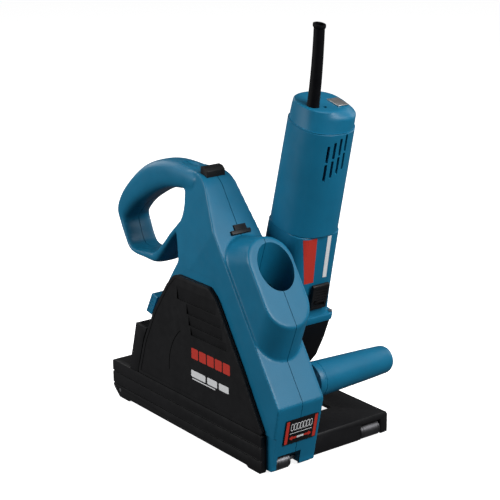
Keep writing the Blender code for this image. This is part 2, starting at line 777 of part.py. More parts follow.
def swing_plate(swing, steel):
    """The plate that carries the gear case and closes the slot in the guard as it swings."""
    radius = math.dist(PIVOT, SPINDLE)
    low = math.atan2(SPINDLE[1] - PIVOT[1], SPINDLE[0] - PIVOT[0])
    middle = polar(PIVOT, radius, low + math.radians(PLUNGE_ANGLE / 2))
    top = polar(PIVOT, radius, low + math.radians(PLUNGE_ANGLE))
    rim = circle(PIVOT, 17.0) + circle(SPINDLE, 34.0) + circle(middle, 29.0) + circle(top, 26.0)
    sheet = flat_solid([hull(rim)], GUARD_RIGHT + 0.8, GUARD_RIGHT + 3.8)
    plate = part("swing_plate", sheet, steel, swing, origin=(GUARD_RIGHT, *PIVOT))
    fuse(plate, rod((60, *PIVOT), (70.2, *PIVOT), 9.5, sides=24), swing)
    cut(plate, rod((50, *PIVOT), (80, *PIVOT), 6.2, sides=20), swing)
    cut(plate, rod((50, *SPINDLE), (80, *SPINDLE), NECK_RADIUS + 0.4, sides=32), swing)
    return plate


def return_spring(swing, steel):
    points = coil(3, 11.6, 5.4, 12)
    places = [(64.2 + z, PIVOT[0] + x, PIVOT[1] + y) for x, y, z in points]
    return part("return_spring", wire(places, 0.8, 0), steel, swing)


def bearing_housing(swing, alloy):
    profile = [(9, 51.5), (NECK_RADIUS - 0.8, 51.5), (NECK_RADIUS, 52.3), (NECK_RADIUS, 66),
               (14.3, 66), (14.3, 54.3), (9, 54.3)]
    return part("bearing_housing", turned(profile, "X", (0, *SPINDLE), sides=24), alloy, swing)


def bearing(name, frame, steel, inner, outer, low, high, axis, place):
    profile = [(inner, low), (outer, low), (outer, high), (inner, high)]
    return part(name, turned(profile, axis, place, sides=20), steel, frame)


def box_ring(left, right, front, rear, radius, height, steps=4):
    corners = [(left, front), (right, front), (right, rear), (left, rear)]
    return [(u, v, height) for u, v in fillet(corners, radius, steps)]


def gear_case(motor, black):
    """Cast gear case: a square head that narrows to a nose below the spindle."""
    left = -32.6
    rings = [box_ring(left, 8, -13, 13, 5, -32.5), box_ring(left, 17, -24, 24, 7, -19),
             box_ring(left, 24, -30.5, 30.5, 8, 0), box_ring(left, 29.5, -31.5, 31.5, 9, 20),
             box_ring(left, 32.2, -32.2, 32.2, 9, 41)]
    case = part("gear_case", loft(rings), black, motor, smooth=25.0)
    cut(case, rod((-50, 0, 0), (-26, 0, 0), NECK_RADIUS + GAP, sides=32), motor)
    cut(case, rod((-30, 0, 0), (10, 0, 0), 23.5, sides=32), motor)
    cut(case, rod((5, 0, 0), (20.5, 0, 0), 11.2, sides=24), motor)
    cut(case, rod((0, 0, 0), (0, 0, 50), 14.3, sides=24), motor)
    cut(case, rod((12, LOCK_V, LOCK_T), (50, LOCK_V, LOCK_T), 5.9, sides=16), motor)
    return case


def spindle_lock_button(motor, black):
    profile = [(0, 16), (5.5, 16), (5.5, 32.5), (4.7, 33.5), (0, 33.5)]
    mesh = turned(profile, "X", (0, LOCK_V, LOCK_T), sides=20)
    return part("spindle_lock_button", mesh, black, motor, origin=(16, LOCK_V, LOCK_T))


NECK_RINGS = [(41.4, 33.0, 8.0), (48.6, 33.0, 8.0), (48.7, 30.8, 13.5), (53.0, 30.3, 14.0),
              (70.0, 29.6, 14.0), (140.0, 28.6, 14.5)]


def motor_housing(motor, blue):
    rings = [box_ring(-half, half, -half, half, radius, height)
             for height, half, radius in NECK_RINGS]
    house = part("motor_housing", loft(rings), blue, motor, smooth=25.0)
    cut(house, rod((0, 0, 46), (0, 0, 150), 25.4, sides=28), motor)
    cut(house, rod((0, 0, 30), (0, 0, 47), 22.0, sides=32), motor)
    cut(house, block((SWITCH_U - 5.5, -40, 58), (SWITCH_U + 5.5, -20, 84)), motor)
    return house


def switch_slide(motor, black):
    """Thumb slide on the neck, with a stem and a long rod up to the switch."""
    side = fillet([(-31.4, 59), (-34.4, 59), (-34.8, 73), (-34.4, 87), (-31.4, 87)],
                  [0, 2, 20, 2, 0])
    thumb = flat_solid([side], SWITCH_U - 10.0, SWITCH_U + 10.0)
    slide = part("switch_slide", thumb, black, motor, origin=(SWITCH_U, -31.4, 73))
    fuse(slide, block((SWITCH_U - 3.5, -32, 67), (SWITCH_U + 3.5, -23.2, 77)), motor)
    fuse(slide, block((3.5, -23.9, 70), (7.0, -23.1, 185)), motor)
    for height in range(63, 84, 3):
        groove = block((SWITCH_U - 7, -40, height), (SWITCH_U + 7, -34.0, height + 1.2))
        cut(slide, groove, motor)
    return slide


def sleeve_ring(height, radius, power=2.35, sides=28):
    ring = []
    for k in range(sides):
        angle = 2 * math.pi * k / sides
        ring.append((radius * rounded(math.cos(angle), power),
                     radius * rounded(math.sin(angle), power), height))
    return ring


def vent_cutters():
    """Slots along the sleeve, each split by a small rib, on the front and on the back."""
    cutters = []
    for index, angle in enumerate(VENT_ANGLES):
        for turn in (0.0, 180.0):
            for half in (0, 1):
                low = 200.0 + 3.3 * index + half * 18.6
                slot = block((-1.3, -40, low), (1.3, -22, low + 17.4))
                slot.transform(Matrix.Rotation(math.radians(angle + turn), 4, "Z"))
                cutters.append(slot)
    return cutters


def rear_housing(motor, blue):
    rings = [sleeve_ring(SLEEVE_START, SLEEVE_RADIUS), sleeve_ring(SLEEVE_RIM, 30.2),
             sleeve_ring(SLEEVE_RIM + 1.5, 29.2), sleeve_ring(259.0, 27.6),
             sleeve_ring(SLEEVE_TOP, 22.5)]
    house = part("rear_housing", loft(rings), blue, motor, smooth=25.0)
    cut(house, rod((0, 0, 130), (0, 0, 250), 27.4, sides=28), motor)
    cut(house, rod((0, 0, 249), (0, 0, 262), 27.4, 20.0, sides=28), motor)
    for slot in vent_cutters():
        cut(house, slot, motor)
    cut(house, rod((*BOOT_BASE, 250), (*BOOT_BASE, 280), BOOT_RADIUS + 0.9, sides=20), motor)
    return house


def boot_place(share):
    """Centre of the boot at a share of its length: it leans a little as it rises."""
    bend = share ** 1.6
    return (BOOT_BASE[0] + BOOT_LEAN[0] * bend, BOOT_BASE[1] + BOOT_LEAN[1] * bend,
            BOOT_START + (BOOT_TOP - BOOT_START) * share)


def cable_boot(motor, rubber):
    steps = 7
    shares = [k / steps for k in range(steps + 1)]
    sections = [(share, BOOT_RADIUS + 0.6 * (1 - share)) for share in shares]
    sections[-2:] = [(0.965, BOOT_RADIUS), (0.972, BOOT_RADIUS + 1.0), (0.995, BOOT_RADIUS + 1.0),
                     (1.0, BOOT_RADIUS + 0.5)]
    rings = []
    for share, radius in sections:
        x, y, z = boot_place(share)
        rings.append([(px, py, z) for px, py in circle((x, y), radius, 12)])
    boot = part("cable_boot", loft(rings), rubber, motor)
    bore = [boot_place(share) for share in shares[1:]]
    x, y, z = boot_place(1.0)
    bore.append((x, y, z + 5))
    cut(boot, wire(bore, BOOT_BORE, 1), motor)
    return boot


def rating_plate(motor, alloy):
    return part("rating_plate", block((4, -15, SLEEVE_TOP + GAP), (17, 2, SLEEVE_TOP + 1.1)),
                alloy, motor)


def flange_screws(motor, steel):
    corners = [(u, v) for u in (-28.7, 28.7) for v in (-28.7, 28.7)]
    for number, (u, v) in enumerate(corners, start=1):
        head = screw_mesh((u, v, 48.6 + GAP), (0, 0, 1), 2.0, 1.8)
        part(f"flange_screw_{number}", head, steel, motor)


def stator_core(motor, steel):
    profile = [(14.6, 76), (22.4, 76), (22.4, 128), (14.6, 128)]
    core = part("stator_core", turned(profile, "Z", sides=24), steel, motor)
    for slot in coil_bars(GAP):
        cut(core, slot, motor)
    return core


def coil_bars(extra):
    """The straight sides of the field coils, which pass through the stator's slots."""
    return [block((side * 17.0 - 1.4 - extra, -4 - extra, 72 - extra),
                  (side * 17.0 + 1.4 + extra, 4 + extra, 132 + extra)) for side in (-1, 1)]


def field_coils(motor, copper):
    lower = turned([(15.5, 68), (21.5, 68), (21.5, 75.6), (15.5, 75.6)], "Z", sides=16)
    upper = turned([(15.5, 128.4), (21.5, 128.4), (21.5, 136), (15.5, 136)], "Z", sides=16)
    coils = part("field_coils", lower, copper, motor)
    fuse(coils, upper, motor)
    for bar in coil_bars(0.0):
        fuse(coils, bar, motor)
    return coils


def bearing_bridge(motor, black):
    disc = turned([(8.9, 171), (22.4, 171), (22.4, 179), (8.9, 179)], "Z", sides=32)
    bridge = part("bearing_bridge", disc, black, motor)
    for side in (-1, 1):
        low = min(side * 18, side * 26.4)
        fuse(bridge, block((low, -4, 172), (low + 8.4, 4, 178)), motor)
    return bridge


def brush_holders(motor, brass):
    part("brush_holder_left", block((-21, -4, 148), (-10.9, 4, 158)), brass, motor)
    part("brush_holder_right", block((10.9, -4, 148), (21, 4, 158)), brass, motor)


def switch_block(motor, black):
    return part("switch_block", block((-7, -22.6, 186), (13, -9, 212)), black, motor)


# ---------------------------------------------------------------- spindle and armature
def spindle_parts(swing, steel, dark, disc):
    axis = (0.0, *SPINDLE)
    origin = (SPINDLE_END, *SPINDLE)
    shaft = turned([(0, SPINDLE_END), (6.2, SPINDLE_END), (7, SPINDLE_END + 0.8), (7, 79.4),
                    (6.5, 79.4), (6.5, 115.8), (0, 115.8)], "X", axis, sides=24)
    part("spindle", shaft, steel, swing, origin)
    flange = turned([(7.3, 43.4), (10.8, 43.4), (10.8, 46.1), (20, 46.1), (20, 49), (8.5, 51),
                     (7.3, 51)], "X", axis, sides=20)
    part("inner_flange", flange, dark, swing, origin)
    part("disc_inner", disc_mesh(43.5, axis), disc, swing, origin)
    for name, low, high in (("spacer_narrow", 22.9, 29.7), ("spacer_wide", 30.0, 43.1)):
        ring = turned([(7.3, low), (17, low), (17, high), (7.3, high)], "X", axis, sides=20)
        part(name, ring, dark, swing, origin)
    part("disc_outer", disc_mesh(20.2, axis), disc, swing, origin)
    nut = turned([(7.3, 12.5), (14, 12.5), (14, 15), (19.5, 16), (19.5, 19.8), (7.3, 19.8)], "X",
                 axis, sides=20)
    part("clamp_nut", nut, dark, swing, origin)
    crown_gear(swing, steel, origin)


def disc_mesh(low, axis):
    """A segmented diamond disc: a thin steel core with rim segments cut apart by notches."""
    high = low + DISC_THICKNESS
    segments = 12
    rim = []
    for k in range(segments):
        start = 2 * math.pi * k / segments
        gap = 0.022
        for share in (0.0, 0.5, 1.0):
            angle = start + gap + (2 * math.pi / segments - 2 * gap) * share
            rim.append(polar((axis[1], axis[2]), DISC_RADIUS, angle))
        rim.append(polar((axis[1], axis[2]), DISC_RADIUS - 9, start + 2 * math.pi / segments - 0.012))
        rim.append(polar((axis[1], axis[2]), DISC_RADIUS - 9, start + 2 * math.pi / segments + 0.012))
    bore = circle((axis[1], axis[2]), 11.1, 20)
    return flat_solid([rim, bore], low, high)


def crown_gear(swing, steel, origin):
    """Face gear: a hub and a disc with radial teeth that point towards the pinion."""
    hub = turned([(6.7, 79.8), (12, 79.8), (12, 84), (20.6, 84), (20.6, CROWN_FACE),
                  (6.7, CROWN_FACE)], "X", (0, *SPINDLE), sides=33)
    gear = part("crown_gear", hub, steel, swing, origin)
    for k in range(CROWN_TEETH):
        fuse(gear, crown_tooth(2 * math.pi * (k + 0.5) / CROWN_TEETH), swing)
    return gear


def crown_tooth(turn):
    """One tooth of the face gear, wider at its root and at its outer end."""
    share = 2 * math.pi / CROWN_TEETH
    rings = []
    for height, width in ((CROWN_FACE - 0.4, 0.42), (MOTOR_X - 5.5, 0.22)):
        ring = []
        for radius, side in ((16.4, -1), (20.2, -1), (20.2, 1), (16.4, 1)):
            angle = side * share * width / 2
            ring.append((height, radius * math.sin(angle), radius * math.cos(angle)))
        rings.append(ring)
    tooth = loft(rings)
    lean = math.radians(MOTOR_LEAN)
    place = Matrix.Translation(Vector((0, *SPINDLE)) * MM)
    tooth.transform(place @ Matrix.Rotation(lean + turn, 4, "X"))
    return tooth


def pinion_outline():
    """Straight-sided teeth around the pinion, one of them centred on its rest direction."""
    outline = []
    share = 2 * math.pi / PINION_TEETH
    for k in range(PINION_TEETH):
        middle = math.pi + share * k
        for radius, width in ((4.7, -0.24), (7.1, -0.09), (7.1, 0.09), (4.7, 0.24)):
            outline.append(polar((0.0, 0.0), radius, middle + share * width))
    return outline


def armature_parts(motor, steel, copper, dark, brass):
    origin = (0.0, 0.0, 22.0)
    shaft = turned([(0, 15), (3.2, 15), (3.2, 24), (4.0, 24), (4.0, 179.6), (0, 179.6)], "Z",
                   sides=20)
    part("armature_shaft", shaft, steel, motor, origin)
    core = turned([(6.5, 76), (13.9, 76), (13.9, 128), (6.5, 128)], "Z", sides=20)
    part("armature_core", core, dark, motor, origin)
    winding = turned([(4.3, 66.5), (8, 66.5), (12.6, 69.5), (12.6, 75.7), (6.2, 75.7),
                      (6.2, 128.3), (12.6, 128.3), (12.6, 134), (8, 137), (4.3, 137)], "Z",
                     sides=16)
    part("armature_windings", winding, copper, motor, origin)
    ring = turned([(4.3, 145), (10.4, 145), (10.4, 161), (4.3, 161)], "Z", sides=22)
    part("commutator", ring, copper, motor, origin)
    part("cooling_fan", fan_mesh(), dark, motor, origin)
    pinion = flat_solid([pinion_outline(), circle((0.0, 0.0), 3.5, 16)], 15.2, 22.6, "Z")
    part("pinion", pinion, steel, motor, origin)


def fan_mesh():
    """A radial fan whose blades widen outwards."""
    blades = 12
    outline = []
    for k in range(blades):
        angle = 2 * math.pi * k / blades
        outline.append(polar((0.0, 0.0), 10.0, angle - 0.12))
        outline.append(polar((0.0, 0.0), 22.6, angle + 0.10))
        outline.append(polar((0.0, 0.0), 22.6, angle + 0.20))
        outline.append(polar((0.0, 0.0), 10.0, angle + 0.12))
    return flat_solid([outline, circle((0.0, 0.0), 4.3, 16)], 53.0, 62.0, "Z")


# ---------------------------------------------------------------- assembly
def main():
    clear_scene()
    blue = make_material("blue_plastic", (0.045, 0.19, 0.31), 0.42)
    black = make_material("black_plastic", (0.03, 0.03, 0.032), 0.55)
    rubber = make_material("black_rubber", (0.015, 0.015, 0.015), 0.75)
    steel = make_material("steel", (0.52, 0.52, 0.54), 0.35, 1.0)
    dark = make_material("dark_steel", (0.1, 0.1, 0.11), 0.45, 1.0)
    alloy = make_material("cast_alloy", (0.6, 0.6, 0.6), 0.5, 1.0)
    copper = make_material("copper", (0.6, 0.25, 0.12), 0.35, 1.0)
    brass = make_material("brass", (0.65, 0.48, 0.2), 0.35, 1.0)
    plate = make_material("label_film", (0.02, 0.02, 0.02), 0.4)
    disc = make_material("disc_steel", (0.4, 0.4, 0.42), 0.4, 1.0)

    origin = tuple(-value for value in MACHINE_ORIGIN)
    machine = make_frame("machine_frame", origin)
    pivot = (0.0, *PIVOT)
    swing = make_frame("swing_frame", pivot, offset=pivot, parent=machine)
    spindle = (MOTOR_X, SPINDLE[0] - PIVOT[0], SPINDLE[1] - PIVOT[1])
    motor = make_frame("motor_frame", spindle, lean=MOTOR_LEAN, parent=swing)

    base_plate(machine, black)
    roller("roller_front_left", machine, rubber, 12.6, 31.0, FRONT_LEFT_ROLLER_Y)
    roller("roller_front_right", machine, rubber, 125.5, 150.5, FRONT_ROLLER_Y)
    roller("roller_rear_left", machine, rubber, 14.0, 45.5, REAR_AXLE_Y)
    roller("roller_rear_right", machine, rubber, 125.5, 150.5, REAR_AXLE_Y)
    axle("axle_front_left", machine, steel, 8.9, 43.4, FRONT_LEFT_ROLLER_Y)
    axle("axle_front_right", machine, steel, 118.0, 155.4, FRONT_ROLLER_Y)
    axle("axle_rear", machine, steel, 0.3, 155.4, REAR_AXLE_Y)
    rear_upstand(machine, black)
    guard_shell("guard_left_shell", -1, machine, blue)
    guard_shell("guard_right_shell", 1, machine, blue)
    shell_clip(machine, black)
    side_cover(machine, black)
    label_plate(machine, plate)
    depth_stop_rail(machine, steel)
    depth_stop_slider(machine, blue)
    unlock_button(machine, black)
    auxiliary_handle(machine, blue)
    pivot_bolt(machine, steel)
    shell_screws(machine, steel)

    swing_plate(swing, dark)
    return_spring(swing, steel)
    bearing_housing(swing, alloy)
    axis = (0.0, *SPINDLE)
    bearing("spindle_bearing_left", swing, steel, 7.3, 13.9, 54.7, 62.7, "X", axis)
    bearing("spindle_bearing_right", swing, steel, 6.8, 10.9, 107.0, 115.4, "X", axis)
    spindle_parts(swing, steel, dark, disc)

    gear_case(motor, black)
    spindle_lock_button(motor, black)
    bearing("armature_bearing_lower", motor, steel, 4.3, 13.9, 29.0, 37.0, "Z", (0, 0, 0))
    bearing("armature_bearing_upper", motor, steel, 4.3, 8.6, 171.6, 178.4, "Z", (0, 0, 0))
    motor_housing(motor, blue)
    switch_slide(motor, black)
    rear_housing(motor, blue)
    cable_boot(motor, rubber)
    rating_plate(motor, alloy)
    flange_screws(motor, steel)
    stator_core(motor, dark)
    field_coils(motor, copper)
    bearing_bridge(motor, black)
    brush_holders(motor, brass)
    switch_block(motor, black)
    armature_parts(motor, steel, copper, dark, brass)


main()
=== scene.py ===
"""Looks of the wall chaser: fine moulded shells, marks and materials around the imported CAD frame.

Lengths are millimetres in the tool's own frame: x to the right from the skirt's outer face, y to
the rear from the base's front edge, z up from the base's underside.  The motor has a frame of its
own, with z along the armature.  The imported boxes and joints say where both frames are.
"""
import json
import math

import bmesh
import bpy
from mathutils import Matrix, Vector


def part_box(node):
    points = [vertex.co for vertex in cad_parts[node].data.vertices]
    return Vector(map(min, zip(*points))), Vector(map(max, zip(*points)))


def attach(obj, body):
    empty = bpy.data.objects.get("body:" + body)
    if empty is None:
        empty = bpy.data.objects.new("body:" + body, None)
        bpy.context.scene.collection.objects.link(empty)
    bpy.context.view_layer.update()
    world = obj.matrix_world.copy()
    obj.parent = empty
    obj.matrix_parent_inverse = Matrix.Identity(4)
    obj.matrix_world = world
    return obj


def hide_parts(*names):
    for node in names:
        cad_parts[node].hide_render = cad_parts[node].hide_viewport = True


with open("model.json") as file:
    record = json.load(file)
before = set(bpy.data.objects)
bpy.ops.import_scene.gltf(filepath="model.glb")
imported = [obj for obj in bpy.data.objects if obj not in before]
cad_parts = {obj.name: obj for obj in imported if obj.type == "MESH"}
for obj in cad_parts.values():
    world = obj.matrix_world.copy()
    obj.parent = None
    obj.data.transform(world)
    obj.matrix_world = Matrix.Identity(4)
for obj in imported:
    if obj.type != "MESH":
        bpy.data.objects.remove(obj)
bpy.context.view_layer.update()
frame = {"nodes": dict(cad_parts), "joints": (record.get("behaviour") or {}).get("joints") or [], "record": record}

# ---------------------------------------------------------------- places read from the frame
MM = 0.001
SKID = 2.0
BASE_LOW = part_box("base_plate")[0]
ORIGIN = BASE_LOW + Vector((0.0, 0.0, SKID * MM))
MACHINE = Matrix.Translation(ORIGIN)
JOINTS = {joint["name"]: joint for joint in frame["joints"]}
SHAFT_FOOT = Vector(JOINTS["armature_spin"]["pos_m"])
LEAN = math.acos(JOINTS["armature_spin"]["axis"][2])
MOTOR = Matrix.Translation(SHAFT_FOOT) @ Matrix.Rotation(LEAN, 4, "X")


def in_machine(place):
    """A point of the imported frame, in millimetres of the machine frame."""
    return (Vector(place) - ORIGIN) / MM


PIVOT = tuple(in_machine(JOINTS["plunge"]["pos_m"]).yz)
SPINDLE = tuple(in_machine(JOINTS["spindle_spin"]["pos_m"]).yz)
GUARD_LEFT = in_machine(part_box("guard_left_shell")[0]).x
GUARD_RIGHT = in_machine(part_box("guard_right_shell")[1]).x
PARTING = in_machine(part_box("guard_left_shell")[1]).x + 0.15
LABEL_LOW, LABEL_HIGH = (in_machine(corner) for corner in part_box("label_plate"))
PLUNGE_ANGLE = JOINTS["plunge"]["range_deg"][1]

# ---------------------------------------------------------------- sizes, in millimetres
SKIRT_HEIGHT = 37.6
SKIRT_THICKNESS = 6.3
COVER_STEP = 5.5
GUARD_WALL = 3.0
NECK_RADIUS = 21.8
NECK_BORE = 25.4
NECK_THROAT = 22.0
SLEEVE_RADIUS = 31.6
SLEEVE_END = 30.4
SLEEVE_BORE = 27.4
SLEEVE_POWER = 2.35
SLEEVE_START = 140.3
SLEEVE_RIM = 248.0
SLEEVE_TOP = 268.0
BOSS_HEIGHT = 33.0
PORT_RADIUS = 19.5
HANDLE_CENTRE = 32.6
HANDLE_HALF = 17.6
HANDLE_POWER = 2.9
SLOPE_FOOT = Vector((1.4, 105.0))
SLOPE_DIR = Vector((0.5519, 0.8339))
SLOPE_OUT = Vector((-0.8339, 0.5519))
TAPER_TURN = math.radians(48.6)
TAPER_START = 203.0
TAPER_SLOPE = 0.2075
RIB = 3.2
RIBS_LEFT = (8.6, 40.6)
PIVOT_BORE = 6.3
PARTING_GAP = 0.28
RACETRACK_STEPS = 32
STEP_MARGIN = 9.0
STEP_DEPTH = 1.0
COVER_SLACK = 0.6
COVER_FIELD = 0.45
LOUVRES = ((153.5, 70.5, 136.0), (138.5, 62.7, 119.7), (127.0, 59.8, 116.7), (115.8, 53.6, 113.6))
LOUVRE_END = 106.4
COVER_ARC = ((97.5, 62), 55.6, 0.45, -3, 52)
RED_ROW = (48.5, 114.5, 83, 94)
RED_GAP = 1.8
WHITE_ROW = ((51, 67), (70, 86.5), (89.5, 113.7))
BLEND_CENTRE = (150.0, 228.0)
BLEND_REACH = (26.0, 62.0)
VOXEL = 1.05
SOFTENING = 10
BLEND_PASSES = 60
ROUND_ANGLE = math.radians(35.0)
LINE_STEPS = 5


# ---------------------------------------------------------------- outlines
def fillet(points, radii, steps=8):
    """Round each corner of a closed outline with an arc of the given radius."""
    if not isinstance(radii, (list, tuple)):
        radii = [radii] * len(points)
    outline = []
    for index, corner in enumerate(points):
        corner = Vector(corner)
        before = (Vector(points[index - 1]) - corner).normalized()
        after = (Vector(points[(index + 1) % len(points)]) - corner).normalized()
        radius = radii[index]
        half = before.angle(after) / 2
        if radius <= 0 or abs(half - math.pi / 2) < 0.01:
            outline.append(tuple(corner))
            continue
        reach = radius / math.tan(half)
        centre = corner + (before + after).normalized() * (radius / math.sin(half))
        start = corner + before * reach - centre
        end = corner + after * reach - centre
        for step in range(steps + 1):
            outline.append(tuple(centre + start.lerp(end, step / steps).normalized() * radius))
    return outline


def polar(centre, radius, angle):
    return (centre[0] + radius * math.cos(angle), centre[1] + radius * math.sin(angle))


def circle(centre, radius, sides=64):
    return [polar(centre, radius, 2 * math.pi * k / sides) for k in range(sides)]


def arc_band(centre, radius, half_width, low, high, steps=40):
    """A curved slot: an arc of a circle with half-round ends, angles in degrees."""
    turn = [math.radians(low + (high - low) * k / steps) for k in range(steps + 1)]
    outer = [polar(centre, radius + half_width, angle) for angle in turn]
    inner = [polar(centre, radius - half_width, angle) for angle in reversed(turn)]
    far = half_round(polar(centre, radius, turn[-1]), half_width, high)
    near = half_round(polar(centre, radius, turn[0]), half_width, low + 180)
    return outer + far + inner + near


def half_round(centre, radius, start, steps=16):
    return [polar(centre, radius, math.radians(start + 180 * k / steps)) for k in range(1, steps)]


def inset(points, distance):
    """Move every edge of an outline inwards by a distance."""
    area = sum(a[0] * b[1] - b[0] * a[1] for a, b in zip(points, points[1:] + points[:1]))
    side = 1.0 if area > 0 else -1.0
    moved = []
    for index, corner in enumerate(points):
        corner = Vector(corner)
        first = (corner - Vector(points[index - 1])).normalized()
        second = (Vector(points[(index + 1) % len(points)]) - corner).normalized()
        normal = (Vector((-first.y, first.x)) + Vector((-second.y, second.x))) * side
        moved.append(tuple(corner + normal * distance / max(0.2, 1 + first.dot(second))))
    return moved


def smooth_line(points):
    """A Catmull-Rom curve through a list of points of any dimension."""
    points = [Vector(point) for point in points]
    ends = [points[0] * 2 - points[1], *points, points[-1] * 2 - points[-2]]
    line = []
    for a, b, c, d in zip(ends, ends[1:], ends[2:], ends[3:]):
        for k in range(LINE_STEPS):
            t = k / LINE_STEPS
            line.append(0.5 * (2 * b + (c - a) * t + (2 * a - 5 * b + 4 * c - d) * t ** 2
                               + (3 * b - a - 3 * c + d) * t ** 3))
    line.append(points[-1])
    return line


# ---------------------------------------------------------------- meshes
def hold(mesh):
    obj = bpy.data.objects.new("helper", mesh)
    bpy.context.scene.collection.objects.link(obj)
    return obj


def baked(obj):
    """The evaluated mesh of a helper object, which is then removed."""
    bpy.context.view_layer.update()
    graph = bpy.context.evaluated_depsgraph_get()
    mesh = bpy.data.meshes.new_from_object(obj.evaluated_get(graph))
    bpy.data.objects.remove(obj, do_unlink=True)
    return mesh


def tidy_mesh(mesh):
    model = bmesh.new()
    model.from_mesh(mesh)
    bmesh.ops.remove_doubles(model, verts=model.verts, dist=0.000005)
    bmesh.ops.recalc_face_normals(model, faces=model.faces)
    model.to_mesh(mesh)
    model.free()
    return mesh


def mesh_from(model):
    bmesh.ops.recalc_face_normals(model, faces=model.faces)
    mesh = bpy.data.meshes.new("piece")
    model.to_mesh(mesh)
    model.free()
    return mesh


def flat_solid(outlines, low, high, axis="X"):
    """Extrude flat outlines along an axis: (y, z) along X, (x, z) along Y, (x, y) along Z."""
    curve = bpy.data.curves.new("outline", "CURVE")
    curve.dimensions = "2D"
    curve.fill_mode = "BOTH"
    curve.extrude = abs(high - low) / 2 * MM
    for outline in outlines:
        spline = curve.splines.new("POLY")
        spline.points.add(len(outline) - 1)
        spline.use_cyclic_u = True
        for point, place in zip(spline.points, outline):
            point.co = (place[0] * MM, place[1] * MM, 0.0, 1.0)
    mesh = baked(hold(curve))
    middle = (low + high) / 2 * MM
    rows = {"X": ((0, 0, 1), (1, 0, 0), (0, 1, 0)),
            "Y": ((1, 0, 0), (0, 0, -1), (0, 1, 0)),
            "Z": ((1, 0, 0), (0, 1, 0), (0, 0, 1))}[axis]
    place = {"X": (middle, 0, 0), "Y": (0, middle, 0), "Z": (0, 0, middle)}[axis]
    mesh.transform(Matrix.Translation(place) @ Matrix(rows).to_4x4())
    return tidy_mesh(mesh)


def block(low, high):
    size = Vector(high) - Vector(low)
    centre = (Vector(high) + Vector(low)) / 2
    model = bmesh.new()
    place = Matrix.Translation(centre * MM) @ Matrix.Diagonal((*(size * MM), 1.0))
    bmesh.ops.create_cube(model, size=1.0, matrix=place)
    return mesh_from(model)


def rod(start, end, radius, end_radius=None, sides=64):
    start = Vector(start) * MM
    end = Vector(end) * MM
    span = end - start
    turn = Vector((0, 0, 1)).rotation_difference(span).to_matrix().to_4x4()
    far = radius if end_radius is None else end_radius
    model = bmesh.new()
    bmesh.ops.create_cone(model, cap_ends=True, segments=sides, radius1=radius * MM,
                          radius2=far * MM, depth=span.length,
                          matrix=Matrix.Translation((start + end) / 2) @ turn)
    return mesh_from(model)


def ellipsoid(centre, radii, turn=None):
    model = bmesh.new()
    size = Matrix.Diagonal((*(Vector(radii) * MM), 1.0))
    spin = turn.to_4x4() if turn else Matrix.Identity(4)
    place = Matrix.Translation(Vector(centre) * MM) @ spin @ size
    bmesh.ops.create_uvsphere(model, u_segments=48, v_segments=32, radius=1.0, matrix=place)
    return mesh_from(model)


def loft(rings):
    """Skin a list of rings that all have the same number of points, and cap both ends."""
    model = bmesh.new()
    loops = [[model.verts.new(Vector(point) * MM) for point in ring] for ring in rings]
    count = len(loops[0])
    for lower, upper in zip(loops, loops[1:]):
        for k in range(count):
            follow = (k + 1) % count
            model.faces.new((lower[k], lower[follow], upper[follow], upper[k]))
    model.faces.new(list(reversed(loops[0])))
    model.faces.new(loops[-1])
    return mesh_from(model)


def turned(profile, axis="Z", place=(0.0, 0.0, 0.0), sides=96):
    """Spin a profile of (radius, height) pairs; a profile off the axis makes a closed ring."""
    rings = [[(radius * math.cos(2 * math.pi * k / sides), radius * math.sin(2 * math.pi * k / sides),
               height) for k in range(sides)] for radius, height in profile]
    model = bmesh.new()
    loops = [[model.verts.new(Vector(point) * MM) for point in ring] for ring in rings]
    closed = profile[0][0] > 0 and profile[-1][0] > 0
    for lower, upper in zip(loops, loops[1:] + (loops[:1] if closed else [])):
        for k in range(sides):
            follow = (k + 1) % sides
            model.faces.new((lower[k], lower[follow], upper[follow], upper[k]))
    bmesh.ops.remove_doubles(model, verts=model.verts, dist=0.000002)
    mesh = mesh_from(model)
    if axis == "X":
        mesh.transform(Matrix.Rotation(math.pi / 2, 4, "Y"))
    mesh.transform(Matrix.Translation(Vector(place) * MM))
    return mesh


def ring_of(points_at, sides=96):
    return [points_at(2 * math.pi * k / sides) for k in range(sides)]


def combine(mesh, tools, operation="DIFFERENCE"):
    """Cut a mesh with others, or join it with them."""
    base = hold(mesh)
    helpers = []
    for tool in tools:
        modifier = base.modifiers.new("boolean", "BOOLEAN")
        modifier.operation = operation
        modifier.solver = "MANIFOLD"
        modifier.object = hold(tool)
        helpers.append(modifier.object)
    result = baked(base)
    for helper in helpers:
        bpy.data.objects.remove(helper, do_unlink=True)
    return result


def rounded_edges(mesh, width, segments=3):
    obj = hold(mesh)
    bevel = obj.modifiers.new("round", "BEVEL")
    bevel.width = width * MM
    bevel.segments = segments
    bevel.limit_method = "ANGLE"
    bevel.angle_limit = ROUND_ANGLE
    bevel.miter_outer = "MITER_ARC"
    return baked(obj)


def moulded(meshes):
    """Melt overlapping solids into one skin with soft moulded corners."""
    model = bmesh.new()
    for mesh in meshes:
        model.from_mesh(mesh)
    joined = bpy.data.meshes.new("joined")
    model.to_mesh(joined)
    model.free()
    obj = hold(joined)
    remesh = obj.modifiers.new("melt", "REMESH")
    remesh.mode = "VOXEL"
    remesh.voxel_size = VOXEL * MM
    remesh.adaptivity = 0.0
    soften = obj.modifiers.new("soften", "SMOOTH")
    soften.factor = 0.5
    soften.iterations = SOFTENING
    return baked(obj)


# ---------------------------------------------------------------- materials
def shader_tree(name):
    material = bpy.data.materials.new(name)
    material.use_nodes = True
    tree = material.node_tree
    return material, tree, tree.nodes["Principled BSDF"]


def link(tree, source, target):
    tree.links.new(source, target)


